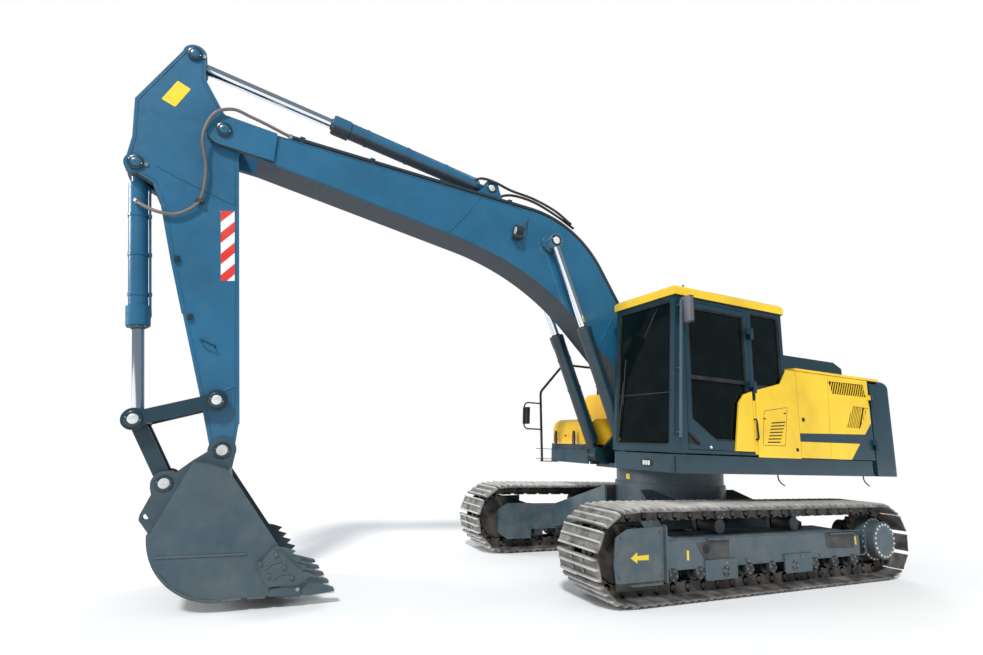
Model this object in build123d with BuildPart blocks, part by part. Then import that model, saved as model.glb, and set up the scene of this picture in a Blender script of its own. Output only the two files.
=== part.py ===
"""Crawler excavator: tracks, slewing house with cab, boom, arm and bucket, as separate pieces."""
import os
from math import cos, hypot, pi, sin, sqrt

from build123d import *

# Frame: the swing axis stands on the ground plane at this length position
SWING_X = -1670.0

# Clearances
PIN_GAP = 0.3
MOVE_GAP = 6.0
SEAT_GAP = 0.3
STRAIGHT = 0.001
DIAGONAL = sqrt(2) / 2

# Pivots in the side view, length and height from the swing axis
BOOM_FOOT = (250.0, 1770.0)
LIFT_FOOT = (900.0, 1240.0)
LIFT_EYE = (1926.0, 3656.0)
ARM_PIVOT = (5460.0, 4050.0)
CROWD_FOOT = (2670.0, 4225.0)
CROWD_EYE = (5799.0, 4768.0)
BUCKET_PIVOT = (5107.0, 1180.0)
LEVER_PIVOT = (5200.0, 1591.0)
LINK_PIVOT = (5770.0, 1404.0)
LINK_END = (5492.0, 909.0)
CURL_FOOT = (6093.0, 3582.0)

# Undercarriage
TUMBLER = 3650.0
GAUGE = 2390.0
SHOE_WIDTH = 600.0
SHOE_COUNT = 49
CHAIN_R = 320.0
LINK_HALF = 52.0
SHOE_PLATE = 14.0
GROUSER = 26.0
GROUSER_TIP = 14.0
GROUSER_FLARE = 4.0
SHOE_GAP = 5.0
GAP_DEPTH = 8.0
STRIP_IN = 55.0
STRIP_OUT = 105.0
CHAIN_OUT = LINK_HALF + SHOE_PLATE + GROUSER
AXLE_Z = CHAIN_R + CHAIN_OUT
IDLER_X = TUMBLER / 2
RUN_LOW = AXLE_Z - CHAIN_R + LINK_HALF
RUN_HIGH = AXLE_Z + CHAIN_R - LINK_HALF
FRAME_HALF = 190.0
FRAME_WALL = 20.0
FRAME_LOW = 262.0
FRAME_HIGH = 532.0
FRAME_SHOULDER = 470.0
FRAME_FRONT = 1480.0
FRAME_REAR = -1470.0
FRAME_SLOPE = 240.0
YOKE_TIP = 1874.0
YOKE_LOW = 150.0
YOKE_HIGH = 580.0
YOKE_CORNER = 80.0
YOKE_THICK = 50.0
IDLER_R = 250.0
IDLER_HALF = 96.0
IDLER_RIB_R = 262.0
AXLE_R = 48.0
TEETH = 21
TOOTH_ROOT = 262.0
TOOTH_TIP = 318.0
TOOTH_HALF = 30.0
DRIVE_R = 232.0
DRIVE_STEP = 150.0
DRIVE_CAP_R = 204.0
DRIVE_OUT = 252.0
MOTOR_R = 165.0
BRACKET_IN = 100.0
BRACKET_OUT = 150.0
BRACKET_R = 190.0
MOTOR_END = 250.0
ROLLER_COUNT = 9
ROLLER_R = 78.0
ROLLER_FLANGE = 92.0
ROLLER_FIRST = -1330.0
ROLLER_LAST = 1290.0
ROLLER_HALF = 120.0
ROLLER_HUB = 38.0
SHOE_BLOCK = 62.0
CARRIER_X = (587.0, -510.0)
CARRIER_R = 70.0
CARRIER_HALF = 110.0
CARRIER_POST = 60.0
GUARD_X = (-620.0, 480.0)
GUARD_LENGTH = 420.0
GUARD_THICK = 16.0
GUARD_LOW = 150.0
GUARD_HIGH = 330.0
BODY_R = 660.0
BODY_LOW = 500.0
BODY_HIGH = 930.0
LEG_ROOT = (430.0, 330.0, 690.0)
LEG_ROOT_SIZE = (620.0, 360.0)
LEG_TIP_X = 790.0
LEG_TIP_SIZE = (520.0, 290.0)
LEG_TIP_Z = 430.0
LEG_WALL = 30.0
BEARING_R = 640.0
BEARING_BORE = 440.0
BEARING_HIGH = 1090.0

# House
DECK_LOW = 1115.0
DECK_HIGH = 1291.0
DECK_HALF = 1358.0
DECK_PLATE = 14.0
DECK_FRONT = 1194.0
DECK_FRONT_RIGHT = 920.0
DECK_REAR = -1960.0
DECK_CORNER = 60.0
SPINE_HALF = 410.0
SPINE_FRONT = 800.0
SPINE_PLATE = 40.0
CHEEK_IN = 246.0
CHEEK_OUT = 292.0
CHEEK_BOSS = 135.0
CHEEK_REAR = -900.0
FOOT_HALF = CHEEK_IN - MOVE_GAP
FOOT_BOSS = 125.0
FOOT_PIN = 55.0
LUG_IN = 205.0
LUG_THICK = 38.0
LUG_R = 88.0
LIFT_HALF = 48.0
LIFT_Y = LUG_IN + LUG_THICK + MOVE_GAP + LIFT_HALF
LIFT_EYE_R = 82.0
LIFT_PIN = 45.0
LIFT_BARREL_R = 78.0
LIFT_ROD_R = 45.0
LIFT_BARREL = 1560.0
LIFT_ROD_START = 1010.0
GLAND_LENGTH = 90.0
GLAND_EXTRA = 10.0
LIFT_NECK = 150.0

# Counterweight
TAIL_R = 2850.0
TAIL_BULGE = 400.0
WEIGHT_FRONT = -2020.0
WEIGHT_SIDE = TAIL_BULGE - TAIL_R
WEIGHT_LOW = DECK_LOW
WEIGHT_HIGH = 2290.0
WEIGHT_REBATE = 130.0
WEIGHT_CORNER = 150.0
WEIGHT_WALL = 300.0
WEIGHT_ROUND = 100.0
EYE_SPACING = 1500.0
EYE_BACK = 380.0
EYE_X = EYE_BACK - TAIL_R
EYE_HOLE = 24.0
EYE_DEPTH = 120.0

# Engine and covers
ENGINE = (-1700.0, -760.0, -230.0, 230.0, 1291.0, 1700.0)
PANEL_THICK = 40.0
PANEL_LOW = 1300.0
PANEL_HIGH = 2260.0
WEIGHT_STEP = PANEL_HIGH - 25.0
PANEL_SKIN = 18.0
REAR_DOOR = (-1988.0, -652.0)
FRONT_PANEL = (-645.0, 28.0)
PANEL_SADDLE = 1990.0
PANEL_RISE = (-376.0, 2095.0)
LOUVRES = ((-118.0, 1450.0), (-194.0, 1655.0), (-424.0, 1677.0), (-320.0, 1457.0))
LOUVRE_COUNT = 7
LOUVRE_DEPTH = 9.0
GRILLE_TOP = ((-1276.0, 2050.0), (-1224.0, 2195.0), (-1880.0, 2205.0), (-1930.0, 2055.0))
GRILLE_LOW = ((-1480.0, 1672.0), (-1645.0, 1928.0), (-1945.0, 1925.0), (-1752.0, 1668.0))
GRILLE_COUNTS = (15, 9)
GRILLE_AHEAD = (2, 0)
GRILLE_LEAN = 0.45
SLAT = 14.0
SLAT_DEEP = 24.0
SLAT_IN = 6.0
HOOD_SIDE_FRONT = -640.0
HOOD_FRONT = -700.0
HOOD_REAR = -2080.0
HOOD_HALF = 1000.0
HOOD_HIGH = 2525.0
HOOD_TAIL = 160.0
HOOD_DROP = 70.0
HOOD_WALL = 30.0
HOOD_PIN = 14.0
HOOD_EAR = 40.0
HOOD_HUB = (HOOD_REAR - MOVE_GAP - 2 * HOOD_PIN, WEIGHT_STEP + 2 * HOOD_PIN)

# Right front
SIDE_GAP = 20.0
TANK = (-560.0, 320.0, SIDE_GAP / 2 - DECK_HALF, -SPINE_HALF - SIDE_GAP, DECK_HIGH, 2080.0)
TANK_WALL = 24.0
TANK_ROUND = 60.0
BOX_RIM = 66.0
BOX = (430.0, 900.0, SIDE_GAP - DECK_HALF, -SPINE_HALF - SIDE_GAP, DECK_HIGH, DECK_HIGH + BOX_RIM)
BOX_WALL = 20.0
LID_HIGH = 1690.0
LID_ROUND = 150.0
LID_SIDE_ROUND = 50.0
LID_PIN = 10.0
LID_EAR = 30.0
LID_HUB = (BOX[0] - MOVE_GAP - 2 * LID_PIN, LID_HIGH - 3 * LID_PIN)
RAIL_R = 17.0
RAIL_BEND = 120.0
RAIL_Y = 88.0 - DECK_HALF
RAIL_PATH = ((1100.0, DECK_LOW), (1146.0, 2062.0), (768.0, 2492.0), (150.0, 2492.0), (150.0, TANK[5]))
RAIL_FOOT = (850.0, 1124.0, 12.0)
LOOP_R = 10.0
LOOP_BEND = 60.0
LOOP_PATH = ((1124.0, 1540.0), (1400.0, 1540.0), (1400.0, 1900.0), (1136.0, 1900.0))
MIRROR = (45.0, 126.0, 230.0)
MIRROR_LOW = 1605.0

# Cab
CAB_REAR = -490.0
CAB_FRONT = 1190.0
CAB_LEAN = 82.0
CAB_RIGHT = SPINE_HALF
CAB_LEFT = DECK_HALF - PANEL_SKIN
CAB_LOW = 1305.0
CAB_HIGH = 2900.0
CAB_WALL = 60.0
MOUNT_R = 70.0
ROOF_HIGH = 3010.0
ROOF_OVER = 22.0
ROOF_ROUND = 55.0
ROOF_WALL = 25.0
WINDOW_ROUND = 55.0
GLASS = 8.0
GLASS_IN = 22.0
PILLAR = 55.0
SILL = 65.0
HEADER = 45.0
DOOR_REAR = 80.0
DOOR_FRONT = 990.0
DOOR_LOW = 1345.0
DOOR_HIGH = 2850.0
DOOR_THICK = 44.0
DOOR_RAIL = 52.0
DOOR_SILL = 95.0
DOOR_SLANT = (620.0, 1640.0)
DOOR_BAR = (2045.0, 2080.0)
DOOR_PANEL = ((364.0, DOOR_LOW), (285.0, 1840.0), (203.0, 1935.0), (DOOR_REAR, 1975.0))
HINGE_X = 66.0
HINGE_OUT = 26.0
HINGE_Y = DECK_HALF + HINGE_OUT
HINGE_R = 22.0
HINGE_PIN = 11.0
HINGE_HEIGHT = 60.0
CAB_HINGES = (2020.0, 2600.0)
DOOR_HINGES = (1480.0, 2020.0)
REAR_HINGE_X = -2000.0
QUARTER_REAR = -440.0
QUARTER_LOW = 2040.0
SIDE_GLASS_LOW = 1900.0
GRIP_R = 16.0
GRIP_POST = 12.0
GRIP_OUT = 45.0
GRIP_IN = 42.0
GRIP_Z = (1500.0, 2130.0, 2790.0)
MIRROR_X = 1005.0
MIRROR_HIGH = 2870.0
MIRROR_TALL = 270.0
MIRROR_ARM = 22.0
SEAT_Y = (CAB_RIGHT + CAB_LEFT) / 2
SEAT_HALF = 230.0
SEAT_X = (10.0, 500.0)
SEAT_Z = (1690.0, 1815.0)
SEAT_BASE = (60.0, 420.0, 150.0)
SEAT_BACK = ((10.0, 1815.0), (130.0, 1815.0), (20.0, 2400.0), (-70.0, 2400.0))
SEAT_HEAD = ((-62.0, 2400.0), (18.0, 2400.0), (-10.0, 2580.0), (-75.0, 2580.0))
SEAT_HEAD_HALF = 130.0
CONSOLE_X = (60.0, 560.0)
CONSOLE_Y = (265.0, 385.0)
CONSOLE_HIGH = 1900.0
STICK_X = 500.0
STICK_R = 14.0
STICK_HIGH = 2090.0
KNOB_R = 26.0
KNOB = 90.0
LEVER_X = 860.0
LEVER_SPREAD = 60.0
LEVER_HIGH = 1880.0
PEDAL = 70.0

# Boom
BOOM_HALF = 205.0
BOOM_PLATE = 18.0
BOOM_TOP = ((137.0, 1850.0), (1565.0, 3982.0), (5060.0, 4150.0))
BOOM_TOP_BEND = 1235.0
BOOM_LOW = ((349.0, 1665.0), (2104.0, 3318.0), (5150.0, 3860.0))
BOOM_LOW_BEND = 3019.0
NOSE_IN = 176.0
NOSE_OUT = 236.0
NOSE_R = 150.0
NOSE_ROOT = 5010.0
NOSE_CUT = 5150.0
ARM_PIN = 55.0
LIFT_BOSS_R = 110.0
CROWD_EAR_IN = 60.0
CROWD_EAR_OUT = 110.0
CROWD_EAR_R = 95.0
CROWD_BASE = (2480.0, 2960.0)
CROWD_BASE_Z = 4015.0
PIPE_R = 19.0
PIPE_Y = (136.0, 184.0)
PIPE_BEND = 1276.0
PIPE_PATH = ((535.0, 2510.0), (1545.0, 4017.0), (4898.0, 4178.0))
CLAMP_LOW = (0.34, 0.5)
CLAMP_HIGH = (0.26, 0.5, 0.72, 0.92)
CLAMP_HALF = 24.0
CLAMP_EDGE = 4.0
CLAMP_TOP = 62.0
LAMP = (2383.0, 3700.0)
LAMP_R = 58.0
LAMP_LENGTH = 80.0
LAMP_Y = 270.0
LAMP_FOOT = 40.0
CAP_R = 60.0
CAP_OUT = 18.0

# Cylinders of arm and bucket
CROWD_HALF = CROWD_EAR_IN - MOVE_GAP
CROWD_EYE_R = 88.0
CROWD_PIN = 45.0
CROWD_NECK = 180.0
CROWD_BARREL_R = 84.0
CROWD_ROD_R = 50.0
CROWD_BARREL = 1850.0
CROWD_ROD_START = 1300.0
CURL_HALF = CROWD_HALF
CURL_EYE_R = 80.0
CURL_PIN = 42.0
CURL_NECK = 130.0
CURL_BARREL_R = 74.0
CURL_ROD_R = 45.0
CURL_BARREL = 1420.0
CURL_ROD_START = 760.0

# Arm
ARM_HALF = 165.0
ARM_PLATE = 18.0
ARM_REAR = ((5712.0, 4800.0), (5684.0, 4551.0), (5493.0, 4259.0), (5320.0, 4100.0), (5319.0, 3879.0),
            (5252.0, 3341.0), (5006.0, 1402.0), (5012.0, 1220.0))
ARM_FRONT = ((5205.0, 1200.0), (5335.0, 1622.0), (5710.0, 2771.0), (5849.0, 3251.0), (5948.0, 3437.0),
             (6060.0, 3490.0), (6174.0, 3564.0), (6155.0, 3820.0), (6189.0, 4180.0), (5885.0, 4800.0))
ARM_BOSS = 150.0
TOP_BOSS = 100.0
CURL_BOSS = 92.0
LEVER_BOSS = 92.0
TIP_BOSS = 100.0
TOP_SLOT = (5400.0, 6300.0, 4330.0, 5000.0)
CURL_SLOT = ((5940.0, 3260.0), (6400.0, 3260.0), (6400.0, 3760.0), (5970.0, 3760.0))

# Bucket and its linkage
BUCKET_HALF = 590.0
BUCKET_SIDE = 22.0
BUCKET_TOP = ((5030.0, 1030.0), (5187.0, 1078.0), (5295.0, 1085.0))
BUCKET_BACK = ((5504.0, 575.0), (5365.0, 262.0), (4921.0, 103.0))
BUCKET_LIP = ((4420.0, 103.0), (4400.0, 135.0), (4587.0, 441.0))
BUCKET_VOID_TOP = ((4985.0, 990.0), (5195.0, 1045.0), (5277.0, 1050.0))
BUCKET_VOID_BACK = ((5478.0, 570.0), (5345.0, 280.0), (4921.0, 128.0))
BUCKET_VOID_LIP = ((4330.0, 128.0), (4540.0, 460.0))
EAR_IN = ARM_HALF + MOVE_GAP
EAR_OUT = 215.0
EAR = ((5012.0, 1035.0), (5000.0, 1160.0), (5107.0, 1180.0), (5215.0, 1160.0), (5330.0, 1075.0),
       (5430.0, 985.0),
       (5492.0, 909.0), (5585.0, 880.0), (5568.0, 822.0), (5622.0, 674.0), (5625.0, 632.0), (5544.0, 526.0),
       (5480.0, 560.0), (5270.0, 1062.0), (5187.0, 1056.0))
EAR_BOSS = 110.0
EAR_END_R = 95.0
EAR_HOLE = (5578.0, 655.0)
EAR_HOLE_R = 22.0
BUCKET_PIN = 45.0
TOOTH_COUNT = 5
TOOTH_WIDTH = 96.0
TOOTH = ((4460.0, 96.0), (4460.0, 178.0), (4400.0, 190.0), (4142.0, 118.0), (4142.0, 104.0), (4330.0, 84.0))
CUTTER_THICK = 32.0
CUTTER = ((4420.0, 176.0), (4661.0, 176.0), (4744.0, 331.0), (4640.0, 470.0), (4560.0, 455.0))
CUTTER_TIP = (4370.0, 215.0)
CUTTER_TEETH = 4
CUTTER_STEP = 34.0
HEEL_THICK = 18.0
HEEL_BANDS = 4
HEEL_NOTCH = 70.0
LEVER_IN = EAR_OUT + MOVE_GAP
LEVER_THICK = 36.0
LEVER_R = 88.0
LEVER_WAIST = 58.0
LEVER_PIN = 42.0
LINK_PIN = 42.0
LINK_IN = 64.0
LINK_R = 85.0
LINK_WEB_IN = 95.0
LINK_WEB_OUT = 135.0
LINK_WAIST = 55.0


def side(y):
    """Upright plane along the machine, seen from its right, length across and height up."""
    return Plane(origin=(SWING_X, y, 0), x_dir=(1, 0, 0), z_dir=(0, -1, 0))


def level(z):
    """Flat plane at a height, length along its x and width along its y."""
    return Plane(origin=(SWING_X, 0, z), x_dir=(1, 0, 0), z_dir=(0, 0, 1))


def slab(points, low, high, mode=Mode.ADD):
    """Plate with a straight-sided side outline between two widths."""
    with BuildSketch(side(high)) as outline:
        with BuildLine():
            Polyline(*points, close=True)
        make_face()
    extrude(outline.sketch, amount=high - low, mode=mode)


def slabs(points, inner, outer, mode=Mode.ADD):
    """The same plate on both sides of the machine."""
    slab(points, inner, outer, mode)
    slab(points, -outer, -inner, mode)


def disc(centre, radius, low, high, mode=Mode.ADD):
    """Round boss or bore across the machine between two widths."""
    with BuildSketch(side(high)) as outline:
        with Locations(centre):
            Circle(radius)
    extrude(outline.sketch, amount=high - low, mode=mode)


def discs(centre, radius, inner, outer, mode=Mode.ADD):
    """The same boss on both sides of the machine."""
    disc(centre, radius, inner, outer, mode)
    disc(centre, radius, -outer, -inner, mode)


def block(x_low, x_high, y_low, y_high, z_low, z_high, mode=Mode.ADD):
    """Straight block between six planes."""
    with BuildSketch(level(z_low)) as outline:
        with Locations(((x_low + x_high) / 2, (y_low + y_high) / 2)):
            Rectangle(x_high - x_low, y_high - y_low)
    extrude(outline.sketch, amount=z_high - z_low, mode=mode)


def post(x, y, radius, z_low, z_high, mode=Mode.ADD):
    """Upright round post or hole."""
    with BuildSketch(level(z_low)) as outline:
        with Locations((x, y)):
            Circle(radius)
    extrude(outline.sketch, amount=z_high - z_low, mode=mode)


def rod(start, end, y, radius, mode=Mode.ADD):
    """Round bar between two points of the side view at one width."""
    run = (end[0] - start[0], 0, end[1] - start[1])
    across = Plane(origin=(SWING_X + start[0], y, start[1]), z_dir=run)
    with BuildSketch(across) as outline:
        Circle(radius)
    extrude(outline.sketch, amount=hypot(run[0], run[2]), mode=mode)


def along(start, end, distance):
    """Point of the side view at a distance from start towards end."""
    part_way = distance / hypot(end[0] - start[0], end[1] - start[1])
    return (start[0] + (end[0] - start[0]) * part_way, start[1] + (end[1] - start[1]) * part_way)


def strap(start, end, half, low, high, mode=Mode.ADD):
    """Plate of even width between two points of the side view."""
    length = hypot(end[0] - start[0], end[1] - start[1])
    over = ((start[1] - end[1]) * half / length, (end[0] - start[0]) * half / length)
    slab([(start[0] + over[0], start[1] + over[1]), (end[0] + over[0], end[1] + over[1]),
          (end[0] - over[0], end[1] - over[1]), (start[0] - over[0], start[1] - over[1])], low, high, mode)


def barrel(foot, eye, y, reach, radii):
    """Cylinder barrel with its neck and gland, bored for the rod."""
    start = along(foot, eye, reach[0])
    end = along(foot, eye, reach[1])
    rod(foot, start, y, radii[0])
    rod(start, end, y, radii[1])
    rod(along(foot, eye, reach[1] - GLAND_LENGTH), end, y, radii[1] + GLAND_EXTRA)
    rod(start, end, y, radii[2] + PIN_GAP, Mode.SUBTRACT)


def tube(path, bend, y, radius):
    """Round tube along straight runs of the side view with rounded corners."""
    with BuildLine(side(y)) as run:
        FilletPolyline(*path, radius=bend)
    with BuildSketch(Plane(origin=run.line @ 0, z_dir=run.line % 0)) as ring:
        Circle(radius)
    sweep(ring.sketch, path=run.line)


def window(x_low, x_high, z_low, z_high, y_low, y_high, mode=Mode.ADD):
    """Side window or its pane with rounded corners."""
    with BuildSketch(side(y_high)) as outline:
        with Locations(((x_low + x_high) / 2, (z_low + z_high) / 2)):
            RectangleRounded(x_high - x_low, z_high - z_low, WINDOW_ROUND)
    extrude(outline.sketch, amount=y_high - y_low, mode=mode)


def cross_window(plane, low, high, height, depth, mode=Mode.ADD):
    """Front or rear window or its pane, cut inwards from a plane across the cab."""
    with BuildSketch(plane) as outline:
        with Locations(((low + high) / 2, 0)):
            RectangleRounded(high - low, height, WINDOW_ROUND)
    extrude(outline.sketch, amount=-depth, mode=mode)


def between(start, end, share):
    """Point of the side view at a share of the way from start to end."""
    return (start[0] + (end[0] - start[0]) * share, start[1] + (end[1] - start[1]) * share)


def grille(corners, count, ahead, low, high):
    """Opening in a side cover, crossed by slats that lean to the rear; some start ahead of it."""
    slab(corners, low, high, Mode.SUBTRACT)
    inset = SLAT_IN if high > 0 else high - low - SLAT_IN - SLAT_DEEP
    for step in range(1 - ahead, count):
        foot = between(corners[0], corners[3], step / count)
        top = between(corners[1], corners[2], step / count)[1]
        head = (foot[0] - GRILLE_LEAN * (top - foot[1]), top)
        strap(foot, head, SLAT / 2, high - inset - SLAT_DEEP, high - inset)


def keep(name, solid):
    """Name a finished piece and write it to its own file."""
    solid.label = name
    export_step(solid, f"parts/{name}.step")


def chain_point(distance):
    """Place and outward direction on the pin line, from the rear of the lower run."""
    arc = pi * CHAIN_R
    if distance < TUMBLER:
        return (distance - IDLER_X, AXLE_Z - CHAIN_R), (0.0, -1.0)
    if distance < TUMBLER + arc:
        turn = (distance - TUMBLER) / CHAIN_R
        out = (sin(turn), -cos(turn))
        return (IDLER_X + CHAIN_R * out[0], AXLE_Z + CHAIN_R * out[1]), out
    if distance < 2 * TUMBLER + arc:
        return (IDLER_X - (distance - TUMBLER - arc), AXLE_Z + CHAIN_R), (0.0, 1.0)
    turn = (distance - 2 * TUMBLER - arc) / CHAIN_R
    out = (-sin(turn), cos(turn))
    return (CHAIN_R * out[0] - IDLER_X, AXLE_Z + CHAIN_R * out[1]), out


def chain_pins():
    """All pins of one chain with their outward directions."""
    pitch = (2 * TUMBLER + 2 * pi * CHAIN_R) / SHOE_COUNT
    return [chain_point(pitch * step) for step in range(SHOE_COUNT)]


def shoe_outline():
    """Outer outline of the shoes with three grousers on each plate."""
    pins = chain_pins()
    pitch = (2 * TUMBLER + 2 * pi * CHAIN_R) / SHOE_COUNT
    edge = pitch / 2 - SHOE_GAP
    plate = LINK_HALF + SHOE_PLATE
    foot = GROUSER_TIP + GROUSER_FLARE
    half = GROUSER_TIP / 2
    profile = [(-edge, CHAIN_OUT), (GROUSER_TIP - edge, CHAIN_OUT), (foot - edge, plate),
               (-half - GROUSER_FLARE, plate), (-half, CHAIN_OUT), (half, CHAIN_OUT),
               (half + GROUSER_FLARE, plate), (edge - foot, plate), (edge - GROUSER_TIP, CHAIN_OUT),
               (edge, CHAIN_OUT)]
    outline = []
    for step, (pin, out) in enumerate(pins):
        deep = plate - GAP_DEPTH
        outline.append((pin[0] + deep * out[0], pin[1] + deep * out[1]))
        other = pins[(step + 1) % SHOE_COUNT][0]
        length = hypot(other[0] - pin[0], other[1] - pin[1])
        run = ((other[0] - pin[0]) / length, (other[1] - pin[1]) / length)
        middle = ((other[0] + pin[0]) / 2, (other[1] + pin[1]) / 2)
        for ahead, rise in profile:
            outline.append((middle[0] + ahead * run[0] + rise * run[1],
                            middle[1] + ahead * run[1] - rise * run[0]))
    return outline


def chain_outline(rise):
    """Plain outline of the chain at a distance outside its pin line, bent only round the ends."""
    outline = []
    pins = chain_pins()
    for step, (pin, out) in enumerate(pins):
        bend = hypot(out[0] - pins[step - 1][1][0], out[1] - pins[step - 1][1][1])
        bend += hypot(out[0] - pins[(step + 1) % SHOE_COUNT][1][0],
                      out[1] - pins[(step + 1) % SHOE_COUNT][1][1])
        if bend > STRAIGHT:
            outline.append((pin[0] + rise * out[0], pin[1] + rise * out[1]))
    return outline


def track(sign):
    """One endless track: shoes in full width and the two strips of its chain."""
    centre = sign * GAUGE / 2
    with BuildPart() as loop:
        slab(shoe_outline(), centre - SHOE_WIDTH / 2, centre + SHOE_WIDTH / 2)
        slab(chain_outline(LINK_HALF), centre - SHOE_WIDTH / 2, centre + SHOE_WIDTH / 2, Mode.SUBTRACT)
        for low in (centre - STRIP_OUT, centre + STRIP_IN):
            with BuildSketch(side(low + STRIP_OUT - STRIP_IN)) as strip:
                with BuildLine():
                    Polyline(*chain_outline(LINK_HALF + PIN_GAP), close=True)
                make_face()
                with BuildLine():
                    Polyline(*chain_outline(-LINK_HALF), close=True)
                make_face(mode=Mode.SUBTRACT)
            extrude(strip.sketch, amount=STRIP_OUT - STRIP_IN)
    return loop.part


def track_frame(sign):
    """Side frame of a track: open-bottomed box, idler yoke and drive bracket."""
    centre = sign * GAUGE / 2
    box = [(FRAME_REAR, FRAME_LOW), (FRAME_FRONT, FRAME_LOW), (FRAME_FRONT, FRAME_SHOULDER),
           (FRAME_FRONT - FRAME_SLOPE, FRAME_HIGH), (FRAME_REAR + FRAME_SLOPE, FRAME_HIGH),
           (FRAME_REAR, FRAME_SHOULDER)]
    yoke = [(FRAME_FRONT - YOKE_CORNER, YOKE_LOW), (IDLER_X - YOKE_CORNER, YOKE_LOW),
            (YOKE_TIP, YOKE_LOW + YOKE_CORNER),
            (YOKE_TIP, YOKE_HIGH - YOKE_CORNER), (IDLER_X - YOKE_CORNER, YOKE_HIGH),
            (FRAME_FRONT - YOKE_CORNER, YOKE_HIGH),
            (FRAME_FRONT - FRAME_SLOPE, FRAME_HIGH), (FRAME_FRONT - YOKE_CORNER, FRAME_LOW)]
    tail = [(FRAME_REAR, FRAME_LOW), (FRAME_REAR, FRAME_SHOULDER), (-IDLER_X, AXLE_Z + BRACKET_R),
            (-IDLER_X, AXLE_Z - BRACKET_R)]
    with BuildPart() as frame:
        slab(box, centre - FRAME_HALF, centre + FRAME_HALF)
        block(FRAME_REAR + FRAME_WALL, FRAME_FRONT - FRAME_WALL, centre - FRAME_HALF + FRAME_WALL,
              centre + FRAME_HALF - FRAME_WALL, YOKE_LOW, FRAME_SHOULDER - FRAME_WALL, Mode.SUBTRACT)
        for low in (centre - FRAME_HALF, centre + FRAME_HALF - YOKE_THICK):
            slab(yoke, low, low + YOKE_THICK)
        ends = sorted((centre - sign * BRACKET_OUT, centre - sign * BRACKET_IN))
        slab(tail, ends[0], ends[1])
        disc((-IDLER_X, AXLE_Z), BRACKET_R, ends[0], ends[1])
    return frame.part


def gear_outline():
    """Toothed outline of a drive sprocket."""
    outline = []
    step = 2 * pi / TEETH
    for tooth in range(TEETH):
        for part_way, radius in ((0.0, TOOTH_ROOT), (0.25, TOOTH_ROOT), (0.45, TOOTH_TIP),
                                 (0.8, TOOTH_TIP)):
            turn = (tooth + part_way) * step
            outline.append((radius * cos(turn) - IDLER_X, radius * sin(turn) + AXLE_Z))
    return outline


def hinge_leaf(x, y, z_low, reach_x, reach_y):
    """Door half of a hinge: bored knuckle with an arm to the door."""
    z_high = z_low + HINGE_HEIGHT
    post(x, y, HINGE_R, z_low, z_high)
    block(min(x, reach_x), max(x, reach_x), min(y, reach_y), max(y, reach_y), z_low, z_high)
    post(x, y, HINGE_PIN + PIN_GAP, z_low, z_high, Mode.SUBTRACT)


def hinge_seat(x, y, z_low, reach_x, reach_y):
    """Fixed half of a hinge: bracket below the knuckle with the pin standing on it."""
    z_high = z_low - SEAT_GAP
    block(min(x, reach_x), max(x, reach_x), min(y, reach_y), max(y, reach_y), z_high - HINGE_HEIGHT, z_high)
    post(x, y, HINGE_R, z_high - HINGE_HEIGHT, z_high)
    post(x, y, HINGE_PIN, z_high, z_low + HINGE_HEIGHT)


def cab_front(z):
    """Length position of the leaning cab front at a height."""
    return CAB_FRONT - CAB_LEAN * (z - CAB_LOW) / (CAB_HIGH - CAB_LOW)


os.makedirs("parts", exist_ok=True)

# Tracks and their frames
keep("left_track", track(1))
keep("right_track", track(-1))
keep("left_track_frame", track_frame(1))
keep("right_track_frame", track_frame(-1))

with BuildPart() as idlers:
    for middle in (GAUGE / 2, -GAUGE / 2):
        disc((IDLER_X, AXLE_Z), IDLER_R, middle - IDLER_HALF, middle + IDLER_HALF)
        disc((IDLER_X, AXLE_Z), IDLER_RIB_R, middle - TOOTH_HALF, middle + TOOTH_HALF)
        disc((IDLER_X, AXLE_Z), AXLE_R, middle - FRAME_HALF + YOKE_THICK, middle + FRAME_HALF - YOKE_THICK)
keep("idlers", idlers.part)

with BuildPart() as sprockets:
    for middle in (GAUGE / 2, -GAUGE / 2):
        slab(gear_outline(), middle - TOOTH_HALF, middle + TOOTH_HALF)
keep("sprockets", sprockets.part)

with BuildPart() as final_drives:
    for sign in (1, -1):
        for inner, outer, radius in ((TOOTH_HALF, DRIVE_STEP, DRIVE_R),
                                     (DRIVE_STEP, DRIVE_OUT, DRIVE_CAP_R),
                                     (-BRACKET_IN, -TOOTH_HALF, MOTOR_R),
                                     (-MOTOR_END, -BRACKET_OUT, MOTOR_R)):
            edges = sorted((sign * (GAUGE / 2 + inner), sign * (GAUGE / 2 + outer)))
            disc((-IDLER_X, AXLE_Z), radius, edges[0], edges[1])
keep("final_drives", final_drives.part)

with BuildPart() as track_rollers:
    for middle in (GAUGE / 2, -GAUGE / 2):
        for step in range(ROLLER_COUNT):
            hub = (ROLLER_FIRST + (ROLLER_LAST - ROLLER_FIRST) * step / (ROLLER_COUNT - 1),
                   RUN_LOW + ROLLER_R + SEAT_GAP)
            disc(hub, ROLLER_R, middle - ROLLER_HALF, middle + ROLLER_HALF)
            disc(hub, ROLLER_FLANGE, middle - TOOTH_HALF, middle + TOOTH_HALF)
            disc(hub, ROLLER_HUB, middle - FRAME_HALF, middle + FRAME_HALF)
            for low in (middle - FRAME_HALF, middle + FRAME_HALF - FRAME_WALL):
                block(hub[0] - SHOE_BLOCK, hub[0] + SHOE_BLOCK, low, low + FRAME_WALL,
                      hub[1] - ROLLER_HUB, FRAME_LOW)
keep("track_rollers", track_rollers.part)

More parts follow.
